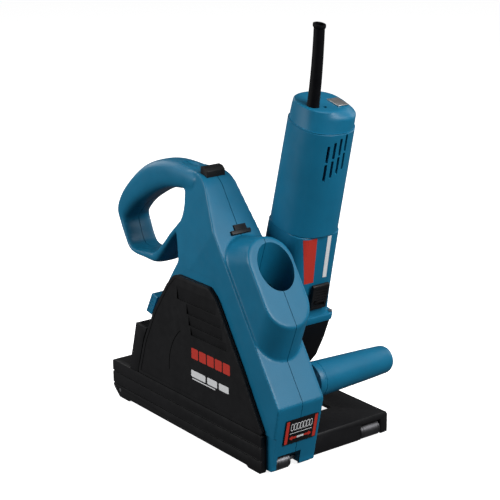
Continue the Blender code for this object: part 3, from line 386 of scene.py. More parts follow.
def noise(tree, coords, scale, detail=3.0, roughness=0.5):
    node = tree.nodes.new("ShaderNodeTexNoise")
    node.inputs["Scale"].default_value = scale
    node.inputs["Detail"].default_value = detail
    node.inputs["Roughness"].default_value = roughness
    link(tree, coords, node.inputs["Vector"])
    return node.outputs["Fac"]


def object_coords(tree, scale=(1.0, 1.0, 1.0)):
    coords = tree.nodes.new("ShaderNodeTexCoord")
    mapping = tree.nodes.new("ShaderNodeMapping")
    mapping.inputs["Scale"].default_value = scale
    link(tree, coords.outputs["Object"], mapping.inputs["Vector"])
    return mapping.outputs["Vector"]


def ranged(tree, value, low, high):
    """Stretch the middle of a noise's range over two values."""
    node = tree.nodes.new("ShaderNodeMapRange")
    node.inputs["From Min"].default_value = 0.3
    node.inputs["From Max"].default_value = 0.7
    node.inputs["To Min"].default_value = low
    node.inputs["To Max"].default_value = high
    link(tree, value, node.inputs["Value"])
    return node.outputs["Result"]


def mixed(tree, factor, first, second):
    node = tree.nodes.new("ShaderNodeMix")
    node.data_type = "RGBA"
    node.inputs["A"].default_value = (*first, 1.0)
    node.inputs["B"].default_value = (*second, 1.0)
    link(tree, factor, node.inputs["Factor"])
    return node.outputs["Result"]


def bump(tree, height, depth, strength=1.0, below=None):
    node = tree.nodes.new("ShaderNodeBump")
    node.inputs["Strength"].default_value = strength
    node.inputs["Distance"].default_value = depth * MM
    link(tree, height, node.inputs["Height"])
    if below is not None:
        link(tree, below, node.inputs["Normal"])
    return node.outputs["Normal"]


def shade(color, factor):
    return tuple(min(1.0, channel * factor) for channel in color)


def plastic(name, color, roughness, grain, depth, mottle=0.06, spread=0.05, specular=0.5):
    """Moulded plastic: spark-eroded grain, faint flow mottling and handling sheen."""
    material, tree, shader = shader_tree(name)
    coords = object_coords(tree)
    flow = noise(tree, coords, 38.0, 4.0)
    link(tree, mixed(tree, ranged(tree, flow, 0.0, 1.0), shade(color, 1 - mottle),
                     shade(color, 1 + mottle)), shader.inputs["Base Color"])
    sheen = noise(tree, coords, 140.0, 5.0)
    link(tree, ranged(tree, sheen, roughness - spread, roughness + spread),
         shader.inputs["Roughness"])
    pits = noise(tree, coords, 1000.0 / grain, 2.0, 0.6)
    waves = noise(tree, coords, 55.0, 1.0)
    link(tree, bump(tree, pits, depth, 0.7, bump(tree, waves, depth * 5, 0.4)),
         shader.inputs["Normal"])
    shader.inputs["Specular IOR Level"].default_value = specular
    return material


def metal(name, color, roughness, stretch=(1.0, 1.0, 1.0), grain=0.5, depth=0.01):
    """Worked metal: tool marks drawn out along one axis over cloudy staining."""
    material, tree, shader = shader_tree(name)
    streaks = noise(tree, object_coords(tree, stretch), 1000.0 / grain, 3.0)
    clouds = noise(tree, object_coords(tree), 90.0, 4.0)
    link(tree, mixed(tree, ranged(tree, clouds, 0.0, 1.0), shade(color, 0.82),
                     shade(color, 1.12)), shader.inputs["Base Color"])
    link(tree, ranged(tree, streaks, roughness - 0.08, roughness + 0.1),
         shader.inputs["Roughness"])
    link(tree, bump(tree, streaks, depth, 0.6), shader.inputs["Normal"])
    shader.inputs["Metallic"].default_value = 1.0
    return material


def wound_copper(name):
    """Enamelled wire laid in close turns."""
    material, tree, shader = shader_tree(name)
    wave = tree.nodes.new("ShaderNodeTexWave")
    wave.bands_direction = "DIAGONAL"
    wave.inputs["Scale"].default_value = 420.0
    wave.inputs["Distortion"].default_value = 1.5
    link(tree, object_coords(tree), wave.inputs["Vector"])
    link(tree, mixed(tree, wave.outputs["Fac"], (0.24, 0.07, 0.02), (0.72, 0.30, 0.12)),
         shader.inputs["Base Color"])
    link(tree, bump(tree, wave.outputs["Fac"], 0.2), shader.inputs["Normal"])
    shader.inputs["Metallic"].default_value = 0.9
    shader.inputs["Roughness"].default_value = 0.34
    return material


def print_ink(name, color):
    """Pad-printed ink: opaque and slightly uneven at the scale of its screen."""
    material, tree, shader = shader_tree(name)
    coords = object_coords(tree)
    screen = noise(tree, coords, 1800.0, 2.0)
    link(tree, mixed(tree, ranged(tree, screen, 0.0, 1.0), shade(color, 0.86), shade(color, 1.06)),
         shader.inputs["Base Color"])
    link(tree, ranged(tree, screen, 0.38, 0.5), shader.inputs["Roughness"])
    link(tree, bump(tree, screen, 0.01, 0.5), shader.inputs["Normal"])
    return material


BLUE = plastic("blue_plastic", (0.006, 0.137, 0.252), 0.38, 0.55, 0.012, specular=0.3)
BLACK = plastic("black_plastic", (0.0085, 0.0085, 0.0095), 0.44, 0.75, 0.05, 0.14, 0.07, 0.22)
RUBBER = plastic("black_rubber", (0.0025, 0.0025, 0.0035), 0.5, 0.9, 0.02, 0.1, 0.06, 0.12)
CASTING = plastic("black_casting", (0.003, 0.003, 0.004), 0.45, 1.3, 0.09, 0.1, 0.06, 0.18)
FILM = plastic("label_film", (0.006, 0.006, 0.007), 0.3, 1.5, 0.004, specular=0.3)
ROLLER = metal("roller_steel", (0.16, 0.16, 0.17), 0.36, (1.0, 0.05, 0.05), 0.6, 0.02)
ALLOY = metal("cast_alloy", (0.6, 0.6, 0.6), 0.44, grain=0.9, depth=0.03)
STEEL = metal("steel", (0.52, 0.52, 0.54), 0.3, (1.0, 0.1, 0.1), 0.4, 0.008)
DARK_STEEL = metal("dark_steel", (0.1, 0.1, 0.11), 0.42, grain=0.6, depth=0.012)
DISC_STEEL = metal("disc_steel", (0.4, 0.4, 0.42), 0.36, (1.0, 0.3, 0.05), 0.5, 0.01)
BRASS = metal("brass", (0.65, 0.48, 0.2), 0.34, grain=0.6, depth=0.01)
COPPER = wound_copper("copper")
RED_INK = print_ink("red_ink", (0.55, 0.035, 0.022))
WHITE_INK = print_ink("white_ink", (0.78, 0.79, 0.8))
SLOT_MATERIALS = {"blue_plastic": BLUE, "black_plastic": BLACK, "black_rubber": RUBBER,
                  "black_casting": CASTING, "label_film": FILM, "roller_steel": ROLLER,
                  "cast_alloy": ALLOY, "steel": STEEL, "dark_steel": DARK_STEEL,
                  "disc_steel": DISC_STEEL, "brass": BRASS, "copper": COPPER}


def dress_cad_nodes():
    """Give every carried-over CAD node the material of its slot."""
    for subpart in frame["record"]["subparts"]:
        mesh = frame["nodes"][subpart["node"]].data
        mesh.materials.clear()
        mesh.materials.append(SLOT_MATERIALS[subpart["material_slot"]])


NODE_SLOTS = {part["node"]: part["material_slot"] for part in frame["record"]["subparts"]}
NODE_BODIES = {node: body for body, nodes in frame["record"]["behaviour"]["bodies"].items()
               for node in nodes}


# ---------------------------------------------------------------- pieces
def piece(name, mesh, body, slot, place=MACHINE, material=None, smooth=32.0):
    """Link a finished mesh as a piece that rides on a body and takes a slot's finish."""
    mesh.transform(place)
    mesh.name = name
    mesh.materials.clear()
    mesh.materials.append(material or SLOT_MATERIALS[slot])
    mesh.shade_smooth()
    mesh.set_sharp_from_angle(angle=math.radians(smooth))
    obj = bpy.data.objects.new(name, mesh)
    bpy.context.scene.collection.objects.link(obj)
    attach(obj, body)
    return obj


def stand_for(node, mesh, place=MACHINE, smooth=32.0):
    """A finer piece in place of one CAD node, on that node's body and in its slot."""
    obj = piece(node + "_fine", mesh, NODE_BODIES[node], NODE_SLOTS[node], place, smooth=smooth)
    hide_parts(node)
    return obj


def node_mesh(node):
    """A copy of a CAD node's mesh, its corners welded and its flats joined, in its own place."""
    model = bmesh.new()
    model.from_mesh(frame["nodes"][node].data)
    bmesh.ops.remove_doubles(model, verts=model.verts, dist=0.000002)
    bmesh.ops.dissolve_limit(model, angle_limit=math.radians(0.6), verts=model.verts,
                             edges=model.edges)
    mesh = bpy.data.meshes.new(node)
    model.to_mesh(mesh)
    model.free()
    return mesh


def soften_node(node, width):
    """The CAD node's own shape with its sharp edges rounded off."""
    mesh = rounded_edges(node_mesh(node), width, 2)
    stand_for(node, mesh, Matrix.Identity(4))


# ---------------------------------------------------------------- guard
COVER_CORNERS = [(211.5, 38.4), (198.0, 78.5), (177.5, 117.0), (153.8, 149.5), (139.5, 163.6),
                 (82.0, 163.6), (70.4, 154.5), (31.7, 94.8), (-2.0, 38.4)]
COVER_RADII = [2, 90, 90, 14, 14, 10, 30, 200, 2]


def cover_outline(distance=0.0):
    corners = inset(COVER_CORNERS, distance) if distance else COVER_CORNERS
    return fillet(corners, [max(1.0, radius - distance) for radius in COVER_RADII], 10)


def slope_point(along, height=0.0):
    place = SLOPE_FOOT + SLOPE_DIR * along + SLOPE_OUT * height
    return (place.x, place.y)


def body_outline():
    """Side view of the guard without its handle and dust port, starting at the foot."""
    corners = [(-8, 1), (-8, 6), slope_point(-42.5), slope_point(191.0), (124, 267), (148, 267),
               (146, 243), (144.2, 230), (147, 218), (158, 203), (152, 190), (145, 174),
               (160, 153), (183, 119), (203.5, 81.5), (214.5, 40), (216, 24), (216, 1)]
    return fillet(corners, [1, 1, 3, 24, 20, 3, 4, 10, 14, 1, 2, 1, 8, 60, 60, 8, 2, 2])


def cavity_outline():
    corners = [(-5, -10), (-5, 6), slope_point(-39.0, -GUARD_WALL),
               slope_point(112.0, -GUARD_WALL), (116, 194), (139.5, 173), (156, 150),
               (179.5, 118), (199.5, 81), (210.8, 40), (212.5, -10)]
    return fillet(corners, [0, 2, 3, 20, 20, 12, 8, 60, 60, 8, 0])


def handle_stations():
    """Outer and inner points of the D-handle's side view, front to rear and back."""
    return [((120, 265.5), (130, 246)), ((139, 268), (141, 245.5)), ((160, 269.5), (154, 243.5)),
            ((183, 268.5), (175.6, 240.3)), ((203, 264), (195, 233.5)), ((222, 256), (213, 224.5)),
            ((242, 241.5), (233, 212.5)), ((261, 223), (247.5, 200)), ((270.5, 204.5), (253, 192)),
            ((265, 190), (249.5, 181.5)), ((256.5, 175.5), (246, 173)), ((248.5, 163.5), (241, 167)),
            ((238, 158.5), (232, 165)), ((218, 157.5), (217, 167)), ((197, 157.5), (203.5, 169)),
            ((185.5, 168), (191.5, 177)), ((173.5, 181), (180, 187.5)), ((160, 195.5), (167, 201)),
            ((146, 207), (153, 214))]


def rounded(value, power):
    return math.copysign(abs(value) ** (2.0 / power), value)


def handle_mesh():
    """The D-handle as rounded-square sections between smoothed outer and inner lines."""
    line = smooth_line([(*outer, *inner) for outer, inner in handle_stations()])
    rings = []
    for place in line:
        outer = Vector(place[0:2])
        inner = Vector(place[2:4])
        middle = (outer + inner) / 2
        reach = (outer - inner) / 2

        def section(angle, middle=middle, reach=reach):
            across = rounded(math.cos(angle), HANDLE_POWER) * HANDLE_HALF
            spot = middle + reach * rounded(math.sin(angle), HANDLE_POWER)
            return (HANDLE_CENTRE + across, spot.x, spot.y)

        rings.append(ring_of(section, 48))
    return loft(rings)


def racetrack(left, right, low, high, height):
    """An oblong ring on a plane parallel to the slope: across is x, along runs up the slope."""
    radius = (right - left) / 2
    middle = (left + right) / 2
    ring = []
    for centre, start in ((high - radius, 0.0), (low + radius, math.pi)):
        for k in range(RACETRACK_STEPS + 1):
            angle = start + math.pi * k / RACETRACK_STEPS
            y, z = slope_point(centre + radius * math.sin(angle), height)
            ring.append((middle + radius * math.cos(angle), y, z))
    return ring


def boss_mesh():
    return loft([racetrack(6.3, 58.9, -3.0, 131.0, -6.0), racetrack(6.4, 58.8, 1.0, 128.0, 0.5),
                 racetrack(6.97, 58.23, 22.9, 115.1, BOSS_HEIGHT - 1.0),
                 racetrack(7.6, 57.6, 24.4, 113.8, BOSS_HEIGHT)])


PORT_TOP = Vector(slope_point(84.1, BOSS_HEIGHT))
PORT_AXIS = Vector((-0.33, 0.944))
PORT_X = (GUARD_LEFT + GUARD_RIGHT) / 2 + 3.4


def port_rod(low, high, radius):
    foot = PORT_TOP + PORT_AXIS * low
    head = PORT_TOP + PORT_AXIS * high
    return rod((PORT_X, *foot), (PORT_X, *head), radius, sides=96)


def side_tapers():
    """Wedges that lean the upper guard in: the left one towards the handle, the right one level."""
    far = TAPER_START + 110.0
    left = [(GUARD_LEFT - 9, TAPER_START), (GUARD_LEFT, TAPER_START),
            (GUARD_LEFT + 110.0 * TAPER_SLOPE, far), (GUARD_LEFT - 9, far)]
    lean = flat_solid([left], -260.0, 260.0, "Y")
    lean.transform(Matrix.Rotation(-TAPER_TURN, 4, "X"))
    right = [(GUARD_RIGHT, 200), (GUARD_RIGHT + 9, 200), (GUARD_RIGHT + 9, 282),
             (GUARD_RIGHT - 12, 282)]
    return [lean, flat_solid([right], -60.0, 300.0, "Y")]


def neck_slot():
    high = math.degrees(math.atan2(SPINDLE[1] - PIVOT[1], SPINDLE[0] - PIVOT[0]))
    radius = math.dist(PIVOT, SPINDLE)
    band = arc_band(PIVOT, radius, NECK_RADIUS + 1.2, high - PLUNGE_ANGLE, high)
    return flat_solid([band], GUARD_RIGHT - GUARD_WALL - 4, GUARD_RIGHT + 4)


def tilted_block(across, along, height):
    """A box set on the slope: x range, range along the slope and range above it."""
    corners = [slope_point(along[0], height[0]), slope_point(along[1], height[0]),
               slope_point(along[1], height[1]), slope_point(along[0], height[1])]
    return flat_solid([corners], across[0], across[1])


def thumb_scoop():
    """The shallow channel on the handle's crown behind the unlocking button."""
    turn = Matrix.Rotation(math.radians(-4.0), 3, "X")
    return ellipsoid((31.0, 145.0, 274.2), (11.5, 21.0, 6.8), turn)


def guard_skin():
    """The whole outer form of the guard with its handle and dust port, melted together."""
    body = flat_solid([body_outline()], GUARD_LEFT, GUARD_RIGHT)
    body = rounded_edges(body, 2.6, 3)
    body = combine(body, side_tapers())
    return blended(moulded([body, handle_mesh(), boss_mesh()]))


def blended(mesh):
    """Smooth the skin further where the handle grows out of the body."""
    centre = Vector((HANDLE_CENTRE, *BLEND_CENTRE))
    obj = hold(mesh)
    group = obj.vertex_groups.new(name="root")
    for vertex in mesh.vertices:
        offset = vertex.co / MM - centre
        reach = math.hypot(offset.y / BLEND_REACH[0], offset.z / BLEND_REACH[1])
        if reach < 1.0:
            group.add([vertex.index], ease(2.0 - 2.0 * reach), "REPLACE")
    soften = obj.modifiers.new("blend", "SMOOTH")
    soften.factor = 0.5
    soften.iterations = BLEND_PASSES
    soften.vertex_group = "root"
    return baked(obj)


def guard_cutters():
    roller_top = in_machine(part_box("roller_front_left")[1]).z
    return [flat_solid([cavity_outline()], GUARD_LEFT + COVER_STEP, GUARD_RIGHT - GUARD_WALL),
            port_rod(-68, 40, PORT_RADIUS),
            block((12, -20, -10), (40, 4, roller_top + 3)),
            block((-5, -60, -10), (SKIRT_THICKNESS + 0.5, 300, SKIRT_HEIGHT + 0.5)),
            flat_solid([cover_outline(-STEP_MARGIN)], -5.0, GUARD_LEFT + STEP_DEPTH),
            flat_solid([cover_outline(-COVER_SLACK)], -5.0, COVER_STEP + 0.1),
            flat_solid([cover_outline(13.0)], -5.0, GUARD_LEFT + 12),
            neck_slot(),
            rod((50, *PIVOT), (64, *PIVOT), PIVOT_BORE),
            thumb_scoop(),
            button_seat(),
            tilted_block((22.3, 45.5), (129.9, 134.5), (-6, 5)),
            tilted_block((27.7, 42.3), (133.0, 140.1), (-6, 5))]


def button_seat():
    low, high = (in_machine(corner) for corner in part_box("unlock_button"))
    slack = 0.6
    return block((low.x - slack, low.y - slack, low.z - 6.0),
                 (high.x + slack, high.y + slack, 300))


def roller_ribs(left):
    outline = fillet([(-6.5, 2), (10, 2), (10, 10), (6, 19), (-9.5, 19)], [1, 1, 1, 1, 0.5])
    return flat_solid([outline], left, left + RIB)


def make_guard():
    """Both blue half shells, with the fine gap between them."""
    skin = combine(guard_skin(), guard_cutters())
    skin = combine(skin, [roller_ribs(left) for left in RIBS_LEFT], "UNION")
    axle = [(in_machine(corner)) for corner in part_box("axle_front_left")]
    centre = (axle[0] + axle[1]) / 2
    skin = combine(skin, [rod((7.5, centre.y, centre.z), (44, centre.y, centre.z), 2.3, sides=32)])
    right_side = block((PARTING - PARTING_GAP, -60, -60), (99, 400, 400))
    left_side = block((-40, -60, -60), (PARTING + PARTING_GAP, 400, 400))
    left = combine(skin.copy(), [right_side])
    right = combine(skin, [left_side])
    stand_for("guard_left_shell", left, smooth=38.0)
    stand_for("guard_right_shell", right, smooth=38.0)


# ---------------------------------------------------------------- side cover and its marks
def cover_layers():
    """The black cover: a face with a raised rim over a narrower waist and a back flange."""
    face = rounded_edges(flat_solid([cover_outline()], 0.0, 2.4), 0.9, 3)
    waist = flat_solid([cover_outline(0.9)], 1.6, 3.6)
    back = rounded_edges(flat_solid([cover_outline(0.2)], 3.1, COVER_STEP - 0.3), 0.5, 2)
    return combine(face, [waist, back], "UNION")


def louvre_cutters():
    """Four shallow steps whose upper edges catch the light, in the cover's upper front corner."""
    cutters = []
    tops = [top for top, _, _ in LOUVRES]
    for (top, front, rear), below in zip(LOUVRES, tops[1:] + [LOUVRE_END]):
        wedge = [(-2.0, top - 0.8), (0.5, top - 0.8), (2.0, below + 0.3), (-2.0, below)]
        cutters.append(flat_solid([wedge], front, rear, "Y"))
    return cutters


def make_cover():
    cover = cover_layers()
    field = flat_solid([cover_outline(3.4)], -2.0, COVER_FIELD)
    hollow = flat_solid([cover_outline(3.0)], 2.7, COVER_STEP + 4)
    arc = flat_solid([arc_band(*COVER_ARC)], -1.0, 1.1)
    cover = combine(cover, [field, hollow, arc, *louvre_cutters()])
    stand_for("side_cover", cover)


def side_mark(name, front, rear, low, high, material, radius=1.2):
    """A thin printed block on the cover between two places along it and two heights."""
    corners = [(rear, low), (front, low), (front, high), (rear, high)]
    face = COVER_FIELD
    print_solid = flat_solid([fillet(corners, radius)], face - 0.12, face + 0.3)
    piece(name, print_solid, "frame", "black_plastic", material=material)


def make_cover_marks():
    """Plain coloured blocks where the cover is printed."""
    start, end, low, high = RED_ROW
    pitch = (end - start) / 5
    for index in range(5):
        front = start + pitch * index
        side_mark(f"cover_mark_red_{index + 1}", front, front + pitch - RED_GAP, low, high, RED_INK)
    for index, (front, rear) in enumerate(WHITE_ROW):
        side_mark(f"cover_mark_white_{index + 1}", front, rear, 63.5, 70.5, WHITE_INK)
    side_mark("cover_mark_line", 73, 112, 60.8, 62, WHITE_INK, 0.5)


# ---------------------------------------------------------------- front label
LABEL_FOOT = Vector((-8.0, 6.0))
LABEL_UP = (Vector(slope_point(-42.5)) - LABEL_FOOT).normalized()
LABEL_OUT = Vector((-LABEL_UP.y, LABEL_UP.x))
LABEL_START = 23.0
LABEL_LIFT = 1.1
LABEL_HEIGHT = 27.0


def label_matrix():
    """Takes (x, up, out) of the label's face to the machine frame."""
    rows = ((1, 0, 0), (0, LABEL_UP.x, LABEL_OUT.x), (0, LABEL_UP.y, LABEL_OUT.y))
    foot = LABEL_FOOT + LABEL_UP * LABEL_START + LABEL_OUT * LABEL_LIFT
    return Matrix.Translation(Vector((0, *foot)) * MM) @ Matrix(rows).to_4x4()


def label_print(name, outlines, material):
    mesh = flat_solid(outlines, -0.02, 0.12, "Z")
    mesh.transform(label_matrix())
    piece(name, mesh, "frame", "label_film", material=material)


def label_slot(middle, half, low, high, radius):
    left, right = middle - half, middle + half
    return fillet([(left, low), (right, low), (right, high), (left, high)], radius)


def make_label():
    left, right = LABEL_LOW.x, LABEL_HIGH.x
    edge = [(left, 0), (right, 0), (right, LABEL_HEIGHT), (left, LABEL_HEIGHT)]
    plate = flat_solid([fillet(edge, 1.4)], -0.8, 0.0, "Z")
    plate.transform(label_matrix())
    stand_for("label_plate", rounded_edges(plate, 0.15, 2))
    for name, start in (("label_bar_left", left + 0.8), ("label_bar_right", right - 4.4)):
        bar = [(start, 1.0), (start + 3.6, 1.0), (start + 3.6, 26), (start, 26)]
        label_print(name, [fillet(bar, 0.5)], RED_INK)
    pitch = (right - left - 13.0) / 7
    for index in range(7):
        x = left + 6.5 + pitch * (index + 0.5)
        outer = label_slot(x, 1.75, 14.5, 22.5, 1.7)
        inner = label_slot(x, 1.2, 15.1, 21.9, 1.15)
        label_print(f"label_ring_{index + 1}", [outer, inner], WHITE_INK)
    middle = (left + right) / 2
    arrow = [(left + 6, 6.2), (left + 10, 3.6), (left + 10, 5.2), (left + 15, 5.2),
             (left + 15, 7.2), (left + 10, 7.2), (left + 10, 8.8)]
    label_print("label_arrow_left", [arrow], RED_INK)
    label_print("label_arrow_right", [[(2 * middle - x, y) for x, y in arrow]], RED_INK)
    dash = [(middle - 4, 5.2), (middle + 4, 5.2), (middle + 4, 7.2), (middle - 4, 7.2)]
    label_print("label_dash", [fillet(dash, 0.4)], WHITE_INK)
    rule = [(left + 6, 11.3), (right - 6, 11.3), (right - 6, 11.8), (left + 6, 11.8)]
    label_print("label_rule", [rule], WHITE_INK)


# ---------------------------------------------------------------- motor neck and marks
NECK_RINGS = [(41.4, 32.4, 8.0), (41.9, 32.9, 8.0), (42.4, 33.0, 8.0), (47.6, 33.0, 8.0),
              (48.3, 32.7, 8.2), (48.6, 32.0, 8.6), (48.9, 31.2, 12.8), (50.0, 30.7, 13.6),
              (53.0, 30.3, 14.0), (70.0, 29.6, 14.0), (100.0, 29.1, 14.2), (139.4, 28.6, 14.5),
              (140.0, 28.2, 14.5)]


def square_point(angle, half, radius):
    """Where a ray at an angle from the front meets a square with rounded corners."""
    step = Vector((math.sin(angle), -math.cos(angle)))
    reach = half / max(abs(step.x), abs(step.y))
    spot = step * reach
    inner = half - radius
    if abs(spot.x) <= inner or abs(spot.y) <= inner:
        return spot
    centre = Vector((math.copysign(inner, step.x), math.copysign(inner, step.y)))
    along = step.dot(centre)
    return step * (along + math.sqrt(max(0.0, along ** 2 - centre.dot(centre) + radius ** 2)))


def neck_point(angle, height, lift=0.0):
    rings = NECK_RINGS
    for low, high in zip(rings, rings[1:]):
        if height <= high[0]:
            share = (height - low[0]) / (high[0] - low[0])
            half = low[1] + (high[1] - low[1]) * share + lift
            radius = low[2] + (high[2] - low[2]) * share + lift
            spot = square_point(angle, half, radius)
            return (spot.x, spot.y, height)
    return (*square_point(angle, rings[-1][1] + lift, rings[-1][2] + lift), height)


def make_neck():
    rings = [ring_of(lambda angle, t=t: neck_point(angle, t), 160) for t, _, _ in NECK_RINGS]
    low, high = switch_window()
    cutters = [rod((0, 0, 46), (0, 0, 150), NECK_BORE), rod((0, 0, 30), (0, 0, 47), NECK_THROAT),
               block((low.x + 4.5, -40, 58), (high.x - 4.5, -20, 84)),
               flat_solid([fillet([(low.x - 1.2, 57), (high.x + 1.2, 57), (high.x + 1.2, 96),
                                   (low.x - 1.2, 96)], 4)], -34, -29.1, "Y")]
    stand_for("motor_housing", combine(loft(rings), cutters), MOTOR, 30.0)


def switch_window():
    """The slide's thumb piece in motor millimetres: its left and right sides."""
    low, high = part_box("switch_slide")
    foot = Vector(((low.x - SHAFT_FOOT.x) / MM, 0, 0))
    head = Vector(((high.x - SHAFT_FOOT.x) / MM, 0, 0))
    return foot, head


def neck_mark(name, starts, ends, low, high, material):
    """A printed band on the neck between two heights, whose sides run from one angle to another."""
    across, along = 12, 24
    model = bmesh.new()
    layers = []
    for lift in (0.02, 0.14):
        grid = []
        for j in range(along + 1):
            share = j / along
            left = math.radians(starts[0] + (ends[0] - starts[0]) * share)
            right = math.radians(starts[1] + (ends[1] - starts[1]) * share)
            height = low + (high - low) * share
            grid.append([model.verts.new(Vector(neck_point(left + (right - left) * i / across,
                                                           height, lift)) * MM)
                         for i in range(across + 1)])
        layers.append(grid)
    skin_patch(model, layers)
    piece(name, mesh_from(model), "motor_unit", "blue_plastic", MOTOR, material)


def skin_patch(model, layers):
    """Faces of a thin closed patch between two grids of corners."""
    inner, outer = layers
    rows, columns = len(inner) - 1, len(inner[0]) - 1
    for grid in layers:
        for j in range(rows):
            for i in range(columns):
                model.faces.new((grid[j][i], grid[j][i + 1], grid[j + 1][i + 1], grid[j + 1][i]))
    border = [(0, i) for i in range(columns)] + [(j, columns) for j in range(rows)]
    border += [(rows, i) for i in range(columns, 0, -1)] + [(j, 0) for j in range(rows, 0, -1)]
    for (j, i), (n, m) in zip(border, border[1:] + border[:1]):
        model.faces.new((inner[j][i], inner[n][m], outer[n][m], outer[j][i]))


def make_neck_marks():
    neck_mark("neck_mark_red", (-24, -3), (-39, -11), 89, 138, RED_INK)
    neck_mark("neck_mark_white", (18, 26), (15, 23), 92, 138, WHITE_INK)


# ---------------------------------------------------------------- motor sleeve and cap
def ease(value):
    value = min(1.0, max(0.0, value))
    return value * value * (3 - 2 * value)


CAP_TURN = math.radians(-75.0)
CAP_LEDGE = 1.0
CAP_TOP = 24.5
CAP_SHIFT = Vector((-3.0, 2.0))
CREASE = (math.radians(-54.0), math.radians(-43.0), math.radians(25.0))
CREASE_FADE = (200.0, 238.0)
CREASE_RISE = 0.6


def sleeve_radius(angle, height):
    """Radius of the sleeve and its cap at an angle from the front, towards the right."""
    angle = (angle + math.pi) % (2 * math.pi) - math.pi
    share = (height - SLEEVE_START) / (SLEEVE_RIM - SLEEVE_START)
    radius = SLEEVE_RADIUS + (SLEEVE_END - SLEEVE_RADIUS) * share
    rise = ease((angle - CREASE[0]) / (CREASE[1] - CREASE[0]))
    fall = 1 - ease((angle - CREASE[1]) / (CREASE[2] - CREASE[1]))
    fade = 1 - ease((height - CREASE_FADE[0]) / (CREASE_FADE[1] - CREASE_FADE[0]))
    radius += CREASE_RISE * rise * fall * fade
    if height > SLEEVE_RIM:
        climb = (height - SLEEVE_RIM) / (SLEEVE_TOP - SLEEVE_RIM)
        steep = ease((math.cos(angle - CAP_TURN) + 0.15) / 1.1)
        drop = steep * climb + (1 - steep) * ease((climb - 0.55) / 0.45) ** 1.5
        top = CAP_TOP + CAP_SHIFT.x * math.sin(angle) - CAP_SHIFT.y * math.cos(angle)
        radius -= CAP_LEDGE + (radius - CAP_LEDGE - top) * drop
    return radius


def sleeve_point(angle, height):
    reach = sleeve_radius(angle, height)
    return (reach * rounded(math.sin(angle), SLEEVE_POWER),
            -reach * rounded(math.cos(angle), SLEEVE_POWER), height)


def sleeve_heights():
    sides = [SLEEVE_START, SLEEVE_START + 0.6, 180.0, 220.0, SLEEVE_RIM - 1.4, SLEEVE_RIM - 0.9]
    cap = [SLEEVE_RIM + 0.05 + (SLEEVE_TOP - SLEEVE_RIM - 0.05) * k / 14 for k in range(15)]
    return sides + [SLEEVE_RIM - 0.4, SLEEVE_RIM] + cap


def sleeve_ring(height):
    """One ring of the sleeve: the joint line below the cap and the open end are drawn in."""
    tuck = 0.0
    if abs(height - SLEEVE_START) < 0.01:
        tuck = 0.5
    if abs(height - (SLEEVE_RIM - 0.4)) < 0.01 or abs(height - (SLEEVE_RIM - 0.9)) < 0.01:
        tuck = 0.55

    def at(angle):
        x, y, z = sleeve_point(angle, height)
        scale = 1 - tuck / math.hypot(x, y)
        return (x * scale, y * scale, z)

    return ring_of(at, 160)


def cap_crown():
    """The last rings that round the cap's top edge over."""
    rings = []
    for inward, rise in ((1.0, 0.35), (2.4, 0.62), (5.0, 0.75)):
        ring = []
        for k in range(160):
            x, y, _ = sleeve_point(2 * math.pi * k / 160, SLEEVE_TOP)
            scale = 1 - inward / math.hypot(x, y)
            ring.append((x * scale, y * scale, SLEEVE_TOP - 0.75 + rise))
        rings.append(ring)
    return rings


VENT_ANGLES = (-22.0, -10.0, 2.0, 14.0)
VENT_START = 200.0
VENT_RISE = 3.3
VENT_LENGTH = 17.4
VENT_RIB = 1.2
VENT_HALF = 1.35


def vent_cutters():
    """Round-ended slots along the sleeve, each split by a small rib, on the front and the back."""
    cutters = []
    for index, angle in enumerate(VENT_ANGLES):
        for turn in (0.0, 180.0):
            for half in (0, 1):
                low = VENT_START + VENT_RISE * index + half * (VENT_LENGTH + VENT_RIB)
                high = low + VENT_LENGTH
                outline = fillet([(-VENT_HALF, low), (VENT_HALF, low), (VENT_HALF, high),
                                  (-VENT_HALF, high)], 0.9, 4)
                slot = flat_solid([outline], -40, -24, "Y")
                slot.transform(Matrix.Rotation(math.radians(angle + turn), 4, "Z"))
                cutters.append(slot)
    return cutters


BOOT_BASE = (-18.0, -5.0)
BOOT_LEAN = (-4.6, 5.0)
BOOT_RADIUS = 5.2
BOOT_BORE = 4.1
BOOT_START = 257.0
BOOT_TOP = 346.5


def make_sleeve():
    heights = [height for height in sleeve_heights() if height < SLEEVE_TOP - 0.7]
    rings = [sleeve_ring(height) for height in heights] + cap_crown()
    cutters = [rod((0, 0, 130), (0, 0, 250), SLEEVE_BORE),
               rod((0, 0, 249), (0, 0, 262), SLEEVE_BORE, 17.0),
               rod((*BOOT_BASE, 250), (*BOOT_BASE, 280), BOOT_RADIUS + 0.9),
               rod((-9.0, -11.0, 262), (-9.0, -11.0, 280), 2.0, sides=32), *vent_cutters()]
    stand_for("rear_housing", combine(loft(rings), cutters), MOTOR, 30.0)


# ---------------------------------------------------------------- cable boot and small parts
def boot_place(share):
    """Centre of the boot at a share of its length: it leans a little as it rises."""
    bend = share ** 1.6
    return Vector((BOOT_BASE[0] + BOOT_LEAN[0] * bend, BOOT_BASE[1] + BOOT_LEAN[1] * bend,
                   BOOT_START + (BOOT_TOP - BOOT_START) * share))


def boot_radius(share):
    """A plain sleeve that widens towards its foot, with a thick lip at its end."""
    if share > 0.962:
        return BOOT_RADIUS + 1.0 * math.sin(math.pi * min(1.0, (share - 0.962) / 0.045)) ** 0.4
    return BOOT_RADIUS + 0.9 * (1 - share) ** 1.5


